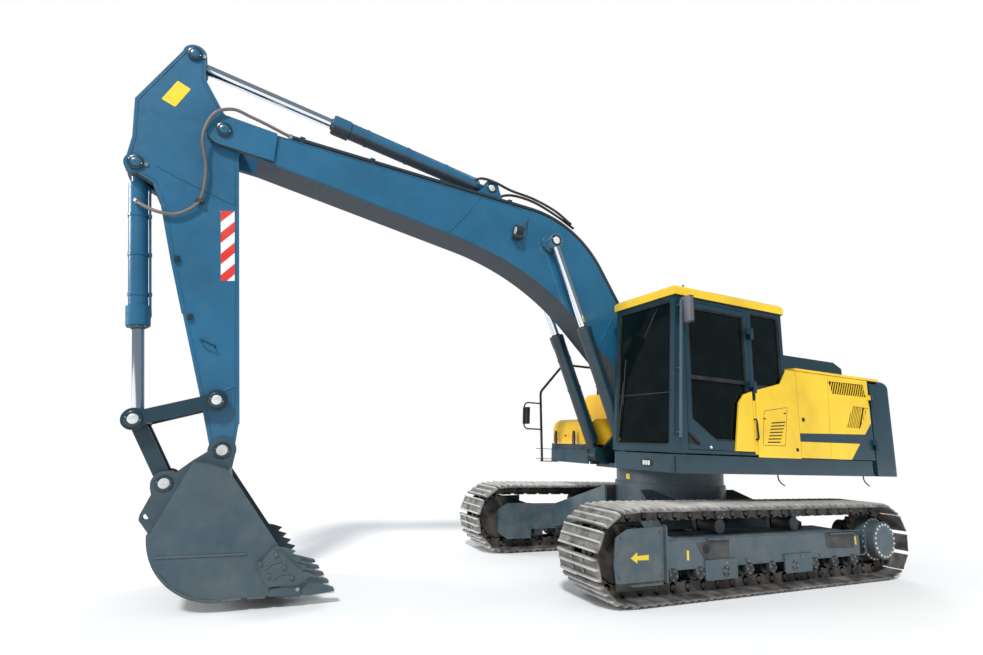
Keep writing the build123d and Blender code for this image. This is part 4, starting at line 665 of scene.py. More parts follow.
@dataclass(frozen=True)
class Shape:
    """Surface in machine millimetres: vertex rows, face indices and wear per vertex."""

    points: Array
    faces: tuple[Array, ...]
    wear: "Array | None" = None

    def moved(self, shift: tuple) -> "Shape":
        """Copy shifted by a vector."""
        return Shape(self.points + np.asarray(shift, float), self.faces, self.wear)

    def mirrored(self) -> "Shape":
        """Copy on the other side of the machine, its faces turned round again."""
        faces = tuple(part[:, ::-1] for part in self.faces)
        return Shape(self.points * (1.0, -1.0, 1.0), faces, self.wear)

    def both(self) -> "Shape":
        """The shape with its mirror image."""
        return join(self, self.mirrored())

    def placed(self, frames: Array) -> "Shape":
        """Copies carried by a row of 4 x 4 frames.

        Args:
            frames: Array of shape (k, 4, 4).

        Returns:
            All copies as one shape.
        """
        count = len(frames)
        turned = np.einsum("kij,nj->kni", frames[:, :3, :3], self.points)
        points = turned + frames[:, None, :3, 3]
        shift = (np.arange(count) * len(self.points))[:, None, None]
        faces = tuple((part[None] + shift).reshape(-1, part.shape[1]) for part in self.faces)
        wear = None if self.wear is None else np.tile(self.wear, count)
        return Shape(points.reshape(-1, 3), faces, wear)

    def copies(self, places: Array) -> "Shape":
        """Copies shifted to the given places.

        Args:
            places: Array of shape (k, 3).

        Returns:
            All copies as one shape.
        """
        frames = np.tile(np.eye(4), (len(places), 1, 1))
        frames[:, :3, 3] = places
        return self.placed(frames)


def join(*shapes: Shape) -> Shape:
    """Several shapes as one.

    Args:
        shapes: Shapes in any number, all with wear or all without.

    Returns:
        One shape with all vertices and faces.
    """
    starts = np.cumsum([0, *(len(shape.points) for shape in shapes[:-1])])
    faces = tuple(part + start for shape, start in zip(shapes, starts) for part in shape.faces)
    worn = [shape.wear for shape in shapes if shape.wear is not None]
    wear = np.concatenate(worn) if worn else None
    return Shape(np.concatenate([shape.points for shape in shapes]), faces, wear)


def grid(points: Array, round_u: bool = False) -> Shape:
    """Surface through a grid of points: rows along u, the closed row of points along v.

    Args:
        points: Array of shape (rows, row length, 3).
        round_u: Whether the last row joins the first, instead of two end faces.

    Returns:
        Quads between neighbouring rows, with the end faces where it has them.
    """
    rows, length = points.shape[:2]
    u = np.arange(rows if round_u else rows - 1)[:, None]
    v = np.arange(length)[None]
    ahead = (u + 1) % rows
    beside = (v + 1) % length
    corners = (u * length + v, u * length + beside, ahead * length + beside, ahead * length + v)
    faces = [np.stack(np.broadcast_arrays(*corners), axis=-1).reshape(-1, 4)]
    if not round_u:
        first = np.arange(length)
        faces += [first[::-1][None], (first + (rows - 1) * length)[None]]
    return Shape(points.reshape(-1, 3), tuple(faces))


def unit(vectors: Array) -> Array:
    """Vectors of length one."""
    return vectors / np.linalg.norm(vectors, axis=-1, keepdims=True)


def angles(count: int) -> Array:
    """Even angles of a full turn."""
    return np.linspace(0.0, 2.0 * math.pi, count, endpoint=False)


def tube(path: Array, radius: "float | Array", sides: int = 12, across: tuple = ACROSS) -> Shape:
    """Circle carried along a path: place + r (cos a n + sin a b), n and b square to it.

    Args:
        path: Points of shape (n, 3).
        radius: One radius or one per point.
        sides: Points of the circle.
        across: Direction that is never along the path.

    Returns:
        Closed tube.
    """
    path = np.asarray(path, float)
    ahead = unit(np.gradient(path, axis=0))
    side = np.asarray(across, float)
    side = unit(side - (ahead @ side)[:, None] * ahead)
    rise = np.cross(side, ahead)
    angle = angles(sides)[None, :, None]
    size = np.broadcast_to(np.asarray(radius, float), (len(path),))[:, None, None]
    ring = np.cos(angle) * rise[:, None] + np.sin(angle) * side[:, None]
    return grid(path[:, None] + size * ring)


def lathe(profile: Array, centre: tuple, axis: tuple = ACROSS, sides: int = 32,
          hollow: bool = False) -> Shape:
    """Profile turned about an axis: centre + along * axis + r (cos a e + sin a f).

    Args:
        profile: Rows of radius and distance along the axis.
        centre: Origin of the axis.
        axis: Direction of the axis.
        sides: Points of each circle.
        hollow: Whether the profile closes on itself round a bore, instead of by two end faces.

    Returns:
        Turned body or ring.
    """
    profile = np.asarray(profile, float)
    axis = unit(np.asarray(axis, float))
    helper = (0.31, 0.17, 0.93) if abs(axis[2]) < 0.9 else FORWARD
    first = unit(np.cross(axis, helper))
    second = np.cross(axis, first)
    angle = angles(sides)[:, None]
    ring = np.cos(angle) * first + np.sin(angle) * second
    points = profile[:, :1, None] * ring[None] + (profile[:, 1:, None] * axis)
    return grid(points + np.asarray(centre, float), round_u=hollow)


def plate(outline: Array, low: float, high: float, axis: int = 1) -> Shape:
    """Flat outline carried straight between two planes.

    Args:
        outline: Rows of two coordinates, for axis 1 length and height.
        low: First plane.
        high: Second plane.
        axis: Direction the outline is carried along, 0, 1 or 2.

    Returns:
        Closed plate.
    """
    outline = np.asarray(outline, float)
    return grid(np.stack([np.insert(outline, axis, level, axis=1) for level in (low, high)]))


def rectangle(x0: float, z0: float, x1: float, z1: float) -> tuple:
    """Corners of a rectangle between two opposite ones."""
    return ((x0, z0), (x1, z0), (x1, z1), (x0, z1))


def block(low: tuple, high: tuple) -> Shape:
    """Straight block between two corners."""
    return plate(rectangle(low[0], low[2], high[0], high[2]), low[1], high[1])


def circle(count: int, radius: float, start: float = 0.0) -> Array:
    """Points of a circle as rows of two coordinates."""
    angle = angles(count) + start
    return radius * np.stack([np.cos(angle), np.sin(angle)], axis=1)


def spline(points: list, steps: int = 10) -> Array:
    """Smooth curve: each span is the cubic with the mean of its neighbours' runs as end slopes.

    Args:
        points: Points to pass.
        steps: Points per span.

    Returns:
        Points of the curve.
    """
    points = np.asarray(points, float)
    slope = np.gradient(points, axis=0)
    t = np.linspace(0.0, 1.0, steps, endpoint=False)[None, :, None]
    start, end = points[:-1, None], points[1:, None]
    leave, arrive = slope[:-1, None], slope[1:, None]
    curve = (2 * t**3 - 3 * t**2 + 1) * start + (t**3 - 2 * t**2 + t) * leave
    curve = curve + (3 * t**2 - 2 * t**3) * end + (t**3 - t**2) * arrive
    return np.concatenate([curve.reshape(-1, points.shape[1]), points[-1:]])


def polyline(points: list, spacing: float) -> Array:
    """Points at even spacing on a line of straight runs.

    Args:
        points: Corners of the line.
        spacing: Wanted distance between points.

    Returns:
        Points of the line.
    """
    points = np.asarray(points, float)
    runs = np.linalg.norm(np.diff(points, axis=0), axis=1)
    reach = np.concatenate([[0.0], np.cumsum(runs)])
    where = np.linspace(0.0, reach[-1], max(2, int(reach[-1] / spacing)))
    return np.stack([np.interp(where, reach, column) for column in points.T], axis=1)


def lift(outline: Array, y: float) -> Array:
    """Side-view points set at one width."""
    return np.insert(np.asarray(outline, float), 1, y, axis=1)


def stand(outline: Array, x: float) -> Array:
    """Front-view points set at one length."""
    return np.insert(np.asarray(outline, float), 0, x, axis=1)


def inset(outline: Array, distance: float) -> Array:
    """Closed outline moved inwards: each corner goes along its bisector, further the sharper it is.

    Args:
        outline: Corners as rows of two coordinates.
        distance: Width between the two outlines.

    Returns:
        Moved corners.
    """
    outline = np.asarray(outline, float)
    ahead = unit(np.roll(outline, -1, axis=0) - outline)
    x, z = outline.T
    area = np.sum(x * np.roll(z, -1) - np.roll(x, -1) * z)
    normal = np.stack([-ahead[:, 1], ahead[:, 0]], axis=1) * np.sign(area)
    before = np.roll(normal, 1, axis=0)
    reach = np.maximum(1.0 + np.sum(normal * before, axis=1, keepdims=True), 0.35)
    return outline + distance * (normal + before) / reach


def band(outline: Array, width: float, low: float, high: float,
         place: Callable[[Array, float], Array] = lift) -> Shape:
    """Flat ring between a closed outline and the same outline moved inwards.

    Args:
        outline: Outer corners.
        width: Width of the ring.
        low: First plane.
        high: Second plane.
        place: Function that sets an outline in a plane.

    Returns:
        Closed ring.
    """
    inner = inset(outline, width)
    rows = [place(outline, low), place(outline, high), place(inner, high), place(inner, low)]
    return grid(np.stack(rows), round_u=True)


def rounded(corners: Array, radius: float, steps: int = 5) -> Array:
    """Closed outline with round corners: each corner becomes the curve between its two cut points.

    Args:
        corners: Corners as rows of two coordinates.
        radius: Distance from a corner to its cut points.
        steps: Points per corner.

    Returns:
        Points of the outline.
    """
    corners = np.asarray(corners, float)
    start = corners + radius * unit(np.roll(corners, 1, axis=0) - corners)
    end = corners + radius * unit(np.roll(corners, -1, axis=0) - corners)
    t = np.linspace(0.0, 1.0, steps)[None, :, None]
    curve = (1 - t) ** 2 * start[:, None] + 2 * t * (1 - t) * corners[:, None] + t**2 * end[:, None]
    return curve.reshape(-1, corners.shape[1])


def turns(count: int, axis: Array, centre: Array) -> Array:
    """Frames that turn evenly about an axis through a point.

    Args:
        count: Number of frames in a full turn.
        axis: Direction of the axis.
        centre: Point of the axis.

    Returns:
        Frames of shape (count, 4, 4).
    """
    x, y, z = unit(np.asarray(axis, float))
    cross = np.array([[0.0, -z, y], [z, 0.0, -x], [-y, x, 0.0]])
    angle = angles(count)[:, None, None]
    turn = np.eye(3) + np.sin(angle) * cross + (1.0 - np.cos(angle)) * (cross @ cross)
    frames = np.tile(np.eye(4), (count, 1, 1))
    frames[:, :3, :3] = turn
    frames[:, :3, 3] = np.asarray(centre, float) - turn @ np.asarray(centre, float)
    return frames


def bolt(radius: float, height: float, centre: tuple, axis: tuple = ACROSS) -> Shape:
    """Six-sided bolt head on a thin washer.

    Args:
        radius: Half width over the corners.
        height: Height of the head.
        centre: Foot of the bolt.
        axis: Direction the head stands out.

    Returns:
        Head and washer.
    """
    washer, seat = 1.35 * radius, 0.2 * height
    head = [(radius, seat), (radius, 0.85 * height), (0.8 * radius, height)]
    return join(lathe(head, centre, axis, 6),
                lathe([(washer, 0.0), (washer, seat)], centre, axis, 12))


def bolt_ring(count: int, ring: float, radius: float, height: float, centre: tuple) -> Shape:
    """Bolts on a circle in the side view, their heads to the left.

    Args:
        count: Number of bolts.
        ring: Radius of their circle.
        radius: Half width of a head.
        height: Height of a head.
        centre: Middle of the circle.

    Returns:
        All bolts.
    """
    places = lift(circle(count, ring, 0.2), 0.0) + np.asarray(centre, float)
    return bolt(radius, height, ORIGIN).copies(places)


def weld(path: Array, radius: float) -> Shape:
    """Weld bead: tube along a path whose radius swells and shrinks with each ripple.

    Args:
        path: Points of the seam.
        radius: Mean radius.

    Returns:
        Rippled bead, half sunk in the plates.
    """
    ripple = 1.0 + 0.1 * np.cos(np.arange(len(path)) * math.pi)
    return tube(path, radius * ripple, 6)


def side_welds(lines: list, y: float, radius: float, step: float = BEAD_STEP) -> Shape:
    """Weld beads along lines on one side plate."""
    return join(*(weld(lift(polyline(line, step), y), radius) for line in lines))


def make(name: str, shape: Shape, finish: Finish, body: "Body | None",
         bevel: float = 0.0) -> bpy.types.Object:
    """Turn a shape into a piece that rides on a body.

    Args:
        name: Name of the piece.
        shape: Surface in machine millimetres.
        finish: Finish of the piece.
        body: Body it rides on, or none for a piece that spans two and rides on neither.
        bevel: Width of rounded edges in millimetres, 0 for none.

    Returns:
        The new object.
    """
    mesh = bpy.data.meshes.new(name)
    points = (shape.points + (SWING_X, 0.0, 0.0)) * MM
    mesh.from_pydata(points, [], [row for part in shape.faces for row in part.tolist()])
    if shape.wear is not None:
        wear = mesh.attributes.new("wear", "FLOAT", "POINT")
        wear.data.foreach_set("value", shape.wear.astype(np.float32))
    work = bmesh.new()
    work.from_mesh(mesh)
    bmesh.ops.recalc_face_normals(work, faces=work.faces)
    work.to_mesh(mesh)
    work.free()
    mesh.shade_smooth()
    mesh.set_sharp_from_angle(angle=math.radians(SHARP_ANGLE))
    mesh.materials.append(finish.material())
    piece = bpy.data.objects.new(name, mesh)
    bpy.context.scene.collection.objects.link(piece)
    if bevel:
        edge = piece.modifiers.new("edge", "BEVEL")
        edge.width = bevel * MM
        edge.segments = 2
        edge.limit_method = "ANGLE"
    if body:
        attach(piece, body.value)
    LOG.info("%s: %d faces on %s", name, len(mesh.polygons), body.value if body else "two bodies")
    return piece


@dataclass
class Coat:
    """Finishes of the frame's own nodes."""

    nodes: dict
    finishes: dict[Finish, tuple[str, ...]]

    def dress(self) -> None:
        """Give every node of the frame its material."""
        for finish, names in self.finishes.items():
            for name in names:
                mesh = self.nodes[name].data
                mesh.materials.clear()
                mesh.materials.append(finish.material())
            LOG.info("%s on %d nodes", finish.value.name, len(names))


@dataclass
class Dress:
    """Fittings that ride on one body."""

    body: Body = Body.HOUSE

    def fit(self, name: str, shape: Shape, finish: Finish,
            bevel: float = 0.0) -> bpy.types.Object:
        """Make a piece on this body."""
        return make(name, shape, finish, self.body, bevel)

    def pair(self, name: str, shape: Shape, finish: Finish,
             bevel: float = 0.0) -> bpy.types.Object:
        """Make a piece with its mirror image on this body."""
        return self.fit(name, shape.both(), finish, bevel)


@dataclass
class Track(Dress):
    """One endless track: shoes with three grousers, bolts and the chain's links."""

    body: Body = Body.UNDERCARRIAGE
    node: str = "left_track"
    side: float = LEFT
    gauge: float = 2390.0
    tumbler: float = 3650.0
    radius: float = 320.0
    axle: float = 412.0
    count: int = 49
    width: float = 600.0
    link_half: float = 52.0
    pitch_half: float = 95.0
    plate_thick: float = 14.0
    grouser: float = 26.0
    shoe_half: float = 90.0

    def frames(self) -> Array:
        """Places of the shoes: x along the chord between two pins, z outwards.

        The pin line runs the lower straight, half circle, upper straight, half circle; pins lie at
        even steps.

        Returns:
            Frames of shape (count, 4, 4).
        """
        arc = math.pi * self.radius
        at = np.arange(self.count) * (2.0 * self.tumbler + 2.0 * arc) / self.count
        half = self.tumbler / 2.0
        low = at < self.tumbler
        front = (at >= self.tumbler) & (at < self.tumbler + arc)
        high = (at >= self.tumbler + arc) & (at < 2.0 * self.tumbler + arc)
        turn = np.where(front, at - self.tumbler, at - 2.0 * self.tumbler - arc) / self.radius
        out, up = self.radius * np.sin(turn), self.radius * np.cos(turn)
        parts = [low, front, high]
        x = np.select(parts, [at - half, half + out, half - (at - self.tumbler - arc)], -half - out)
        levels = [self.axle - self.radius, self.axle - up, self.axle + self.radius]
        z = np.select(parts, levels, self.axle + up)
        pins = np.stack([x, np.full(self.count, self.side * self.gauge / 2.0), z], axis=1)
        after = np.roll(pins, -1, axis=0)
        run = unit(after - pins)
        outward = np.stack([run[:, 2], np.zeros(self.count), -run[:, 0]], axis=1)
        frames = np.tile(np.eye(4), (self.count, 1, 1))
        columns = [run, np.cross(outward, run), outward, (pins + after) / 2.0]
        frames[:, :3] = np.stack(columns, axis=2)
        return frames

    def shoe(self) -> Shape:
        """One shoe: a profile with three grousers carried across, sloping off at the ends.

        Returns:
            Shoe about the middle of its chord, with wear on the grouser tips.
        """
        low, edge, half = self.link_half, self.shoe_half, self.width / 2.0
        top = low + self.plate_thick
        tip = top + self.grouser
        profile = np.array([
            (-edge, low), (-edge - 3.0, top - 2.0), (-edge, tip - 3.0), (-edge + 3.0, tip),
            (-edge + 12.0, tip), (-edge + 15.0, tip - 4.0), (-edge + 20.0, top), (-12.0, top),
            (-8.0, tip - 4.0), (-5.0, tip), (5.0, tip), (8.0, tip - 4.0), (12.0, top),
            (edge - 20.0, top), (edge - 15.0, tip - 4.0), (edge - 12.0, tip), (edge - 3.0, tip),
            (edge, tip - 3.0), (edge, low)])
        across = np.array([-half, 3.0 - half, 38.0 - half, 0.0, half - 38.0, half - 3.0, half])
        slope = np.array([0.2, 0.35, 1.0, 1.0, 1.0, 0.35, 0.2])
        rise = np.maximum(profile[:, 1] - top, 0.0)
        heights = np.minimum(profile[:, 1], top)[None] + slope[:, None] * rise[None]
        rows = np.broadcast_arrays(profile[:, 0], across[:, None], heights)
        made = grid(np.stack(rows, axis=-1))
        wear = np.clip((heights - top) / self.grouser, 0.0, 1.0) * 0.85 + 0.15
        wear = np.where(heights <= low + 1.0, 0.0, wear)
        return Shape(made.points, made.faces, wear.reshape(-1))

    def links(self) -> Shape:
        """Two link plates of one pitch: waisted outlines with round ends, and the pin bosses.

        Returns:
            Links about the middle of their chord.
        """
        half = self.pitch_half
        outline = np.array([
            (-half - 34.0, -30.0), (-half - 10.0, -50.0), (-40.0, -52.0), (-20.0, -40.0),
            (20.0, -40.0), (40.0, -52.0), (half + 10.0, -50.0), (half + 34.0, -30.0),
            (half + 34.0, 20.0), (half + 12.0, 44.0), (60.0, 51.0), (-60.0, 51.0),
            (-half - 12.0, 44.0), (-half - 34.0, 20.0)])
        boss = [(28.0, 104.0), (28.0, 110.0), (22.0, 113.0)]
        return join(plate(outline, 58.0, 80.0), plate(outline * (0.98, 1.0), 82.0, 104.0),
                    lathe(boss, (half, 0.0, 0.0), sides=16)).both()

    def bolts(self) -> Shape:
        """Four bolt heads between the grousers of one shoe.

        Returns:
            Bolts about the middle of the shoe's chord.
        """
        level = self.link_half + self.plate_thick - 0.5
        places = np.array([(x, y, level) for x in (-46.0, 46.0) for y in (-80.0, 80.0)])
        return bolt(15.0, 14.0, ORIGIN, UP).copies(places)

    def build(self) -> None:
        """Replace the frame's track by the detailed one."""
        frames = self.frames()
        shoes = self.fit(f"{self.node}_shoes", self.shoe().placed(frames), Finish.SHOE)
        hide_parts(self.node)
        self.fit(f"{self.node}_links", self.links().placed(frames), Finish.CHAIN)
        self.fit(f"{self.node}_bolts", self.bolts().placed(frames), Finish.ZINC)


@dataclass
class PinHeads:
    """Pin ends, collars and keeper bolts; each row gives pivot, face, radius and body."""

    heads: tuple = (
        (Pin.ARM, 254.0, 62.0, Body.BOOM),
        (Pin.CROWD_EYE, 183.0, 60.0, Body.ARM),
        (Pin.CURL_FOOT, 183.0, 60.0, Body.ARM),
        (Pin.LEVER, 275.0, 60.0, Body.LEVERS),
        (Pin.LINK, 275.0, 60.0, Body.LEVERS),
        (Pin.BUCKET, 221.0, 66.0, Body.BUCKET),
        (Pin.LINK_END, 221.0, 62.0, Body.BUCKET),
        (Pin.BOOM_FOOT, 310.0, 60.0, Body.HOUSE),
        (Pin.LIFT_FOOT, 389.0, 56.0, Body.HOUSE),
        (Pin.LIFT_EYE, 345.0, 66.0, Body.LIFT_RODS),
        (Pin.CROWD_FOOT, 110.0, 58.0, Body.BOOM))
    # Pin ends on this face are low, because the levers pass close by.
    passed: float = 221.0
    low: float = 0.3
    painted: tuple = (Pin.ARM, Pin.CROWD_EYE, Pin.CURL_FOOT)
    disc: float = 0.66

    def fit(self, pin: Pin, face: float, radius: float, body: Body) -> None:
        """Make the chamfered pin end with its centre bore, the collar about it and two bolts.

        Args:
            pin: Pivot.
            face: Width of the face they stand on.
            radius: Radius of the collar.
            body: Body they ride on.
        """
        x, z = pin.value
        rise = self.low if face == self.passed else 1.0
        bore, edge, tall = self.disc * radius, radius + 4.0, 6.0 * rise
        end = [(bore, -2.0), (bore, tall), (bore - 4.0, 9.0 * rise), (9.0, 9.0 * rise), (6.0, tall)]
        ring = [(bore, -4.0), (edge, -4.0), (edge, 3.0 * rise), (radius, tall), (bore, tall)]
        heads = bolt_ring(2, 0.84 * radius, 7.0, 5.0 * rise, (x, face + 5.0 * rise, z))
        name, spot = pin.name.lower(), (x, face, z)
        finish = Finish.TEAL if pin in self.painted else Finish.BRIGHT
        collar = lathe(ring, spot, sides=40, hollow=True)
        make(f"{name}_pin_ends", lathe(end, spot, sides=36).both(), finish, body)
        make(f"{name}_pin_collars", collar.both(), Finish.TEAL_HOUSE, body)
        make(f"{name}_pin_bolts", heads.both(), Finish.ZINC, body)

    def build(self) -> None:
        """Set pin ends, collars and bolts on both sides."""
        for pin, face, radius, body in self.heads:
            self.fit(pin, face, radius, body)


@dataclass
class Cylinder(Dress):
    """Dress of one or two hydraulic cylinders: gland with bolts, bands and an oil pipe."""

    name: str = "lift"
    foot: Pin = Pin.LIFT_FOOT
    eye: Pin = Pin.LIFT_EYE
    widths: tuple = (0.0,)
    length: float = 1560.0
    radius: float = 78.0
    rod: float = 45.0
    pipe_up: float = 1.0
    lip: float = 18.0
    collar: float = 180.0
    finish: Finish = Finish.TEAL
    band_shares: tuple = (0.3, 0.55, 0.8)

    def frame(self) -> tuple:
        """Direction along the cylinder and the direction its pipe lies on."""
        run = unit(np.subtract(self.eye.value, self.foot.value))
        return np.array([run[0], 0.0, run[1]]), self.pipe_up * np.array([-run[1], 0.0, run[0]])

    def spot(self, along: float, out: float, y: float) -> Array:
        """Point beside the cylinder's axis."""
        run, rise = self.frame()
        return np.array([self.foot.value[0], y, self.foot.value[1]]) + along * run + out * rise

    def gland(self, y: float) -> tuple[Shape, Shape, Shape]:
        """Gland at the barrel's end, its bolts and the rod's seal.

        Args:
            y: Width of the cylinder's middle.

        Returns:
            Gland, bolts and seal.
        """
        run, rise = self.frame()
        end = self.spot(self.length, 0.0, y)
        ring, bore, rod = self.radius + self.lip, self.rod + 1.0, self.rod
        body = [(ring, -self.collar), (ring, -12.0), (ring - 8.0, -4.0), (rod + 14.0, -3.0),
                (rod + 10.0, 12.0), (bore, 12.0), (bore, -self.collar)]
        seal = [(bore, 11.0), (rod + 6.0, 11.0), (rod + 6.0, 18.0), (bore, 20.0)]
        head = bolt(9.0, 9.0, end + (ring - 16.0) * rise - 4.0 * run, run)
        return (lathe(body, end, run, 40, True), head.placed(turns(8, run, end)),
                lathe(seal, end, run, 32, True))

    def bands(self, y: float) -> Shape:
        """Clamp bands round the barrel, each with a lug under the pipe.

        Args:
            y: Width of the cylinder's middle.

        Returns:
            All bands of one barrel.
        """
        run, rise = self.frame()
        skin, proud = self.radius + 0.5, self.radius + 5.0
        strap = [(skin, -16.0), (proud, -15.0), (proud, 15.0), (skin, 16.0)]
        parts = []
        for share in self.band_shares:
            along = self.length * share
            parts.append(lathe(strap, self.spot(along, 0.0, y), run, 40, True))
            lug = self.spot(along, self.radius + 8.0, y) + 6.0 * rise
            parts.append(lathe([(15.0, -16.0), (15.0, 16.0)], lug, run, 16))
        return join(*parts)

    def pipe(self, y: float) -> Shape:
        """Oil pipe beside the barrel, bent into it at both ends.

        Args:
            y: Width of the cylinder's middle.

        Returns:
            Closed tube.
        """
        gap, length = self.radius + 14.0, self.length
        bends = ((120.0, self.radius * 0.6), (170.0, gap), (260.0, gap), (length * 0.5, gap),
                 (length - 180.0, gap), (length - 90.0, gap), (length - 55.0, self.radius * 0.8))
        return tube(spline([self.spot(along, out, y) for along, out in bends], 8), 10.0)

    def build(self) -> None:
        """Make gland, bolts, bands, pipe and seal for each barrel."""
        glands, bolts, seals = (join(*parts) for parts in zip(*map(self.gland, self.widths)))
        self.fit(f"{self.name}_glands", glands, self.finish)
        self.fit(f"{self.name}_gland_bolts", bolts, Finish.ZINC)
        self.fit(f"{self.name}_bands", join(*map(self.bands, self.widths)), self.finish)
        self.fit(f"{self.name}_oil_pipes", join(*map(self.pipe, self.widths)), self.finish)
        self.fit(f"{self.name}_rod_seals", seals, Finish.SEAL)


@dataclass
class ArmDress(Dress):
    """Welds, flanges, brackets, blank sign, stripe band and keeper plates of the arm."""

    body: Body = Body.ARM
    half: float = 165.0
    outline: tuple = (
        (5712.0, 4800.0), (5684.0, 4551.0), (5493.0, 4259.0), (5320.0, 4100.0), (5319.0, 3879.0),
        (5252.0, 3341.0), (5006.0, 1402.0), (5012.0, 1220.0), (5205.0, 1200.0), (5335.0, 1622.0),
        (5710.0, 2771.0), (5849.0, 3251.0), (5948.0, 3437.0), (6060.0, 3490.0), (6174.0, 3564.0),
        (6155.0, 3820.0), (6189.0, 4180.0), (5885.0, 4800.0))

    def welds(self) -> Shape:
        """Beads inside the edge of the side plates and across them at the plate joints.

        Returns:
            Beads on the left.
        """
        edge = inset(self.outline, 26.0)
        cross = [(5940.0, 3590.0), (5700.0, 3500.0), (5300.0, 3372.0)]
        tip = [(5310.0, 1597.0), (5062.0, 1725.0)]
        return side_welds([[*edge, edge[0]], cross, tip], self.half, 5.5)

    def rails(self) -> Shape:
        """Edges of the side plates that stand proud of the rear and front covers.

        Returns:
            Four thin flanges.
        """
        rear = [(5319.0, 3870.0), (5252.0, 3341.0), (5006.0, 1402.0)]
        front = [(5560.0, 2310.0), (5710.0, 2771.0), (5849.0, 3240.0)]
        inner = self.half - 6.0
        return join(*(tube(lift(polyline(line, 60.0), y), 7.0, 8)
                      for line in (rear, front) for y in (-inner, inner)))

    def brackets(self) -> Shape:
        """Small clamp blocks on the left side, each with a bolt, and the welded grab loop.

        Returns:
            Blocks and loop.
        """
        root, bend, top = self.half - 4.0, self.half + 48.0, self.half + 56.0
        cap = self.half + 34.0
        places = np.array([(5667.0, 0.0, 2781.0), (5500.0, 0.0, 2287.0)])
        blocks = block((-20.0, self.half, -22.0), (20.0, cap, 22.0)).copies(places)
        heads = bolt(8.0, 8.0, (0.0, cap, 12.0)).copies(places)
        loop = [(5392.0, root, 2100.0), (5390.0, bend, 2096.0), (5382.0, top, 2090.0),
                (5282.0, top, 2052.0), (5274.0, bend, 2049.0), (5272.0, root, 2046.0)]
        return join(blocks, heads, tube(polyline(loop, 12.0), 8.0, 10, (0.3, 0.25, -0.9)))

    def build(self) -> None:
        """Make all fittings of the arm."""
        skin = self.half - 1.0
        self.pair("arm_welds", self.welds(), Finish.TEAL)
        self.fit("arm_flanges", self.rails(), Finish.TEAL)
        self.fit("arm_brackets", self.brackets(), Finish.TEAL_HOUSE, 3.0)
        sign = [(5898.0, 4456.0), (5784.0, 4407.0), (5880.0, 4190.0), (5995.0, 4234.0)]
        self.fit("arm_blank_sign", plate(rounded(sign, 12.0), skin, self.half + 2.0), Finish.SIGN)
        stripe = [(5392.0, 3292.0), (5275.0, 3316.0), (5190.0, 2664.0), (5307.0, 2644.0)]
        self.pair("arm_stripe_band", plate(stripe, skin, self.half + 1.5), Finish.STRIPES)
        pads = []
        for pin in (Pin.CURL_FOOT, Pin.CROWD_EYE):
            x, z = pin.value
            pad = rounded(rectangle(x - 95.0, z - 16.0, x - 55.0, z + 16.0), 5.0)
            pads.append(plate(pad, self.half, self.half + 12.0).both())
        self.fit("arm_keeper_plates", join(*pads), Finish.ZINC, 2.0)


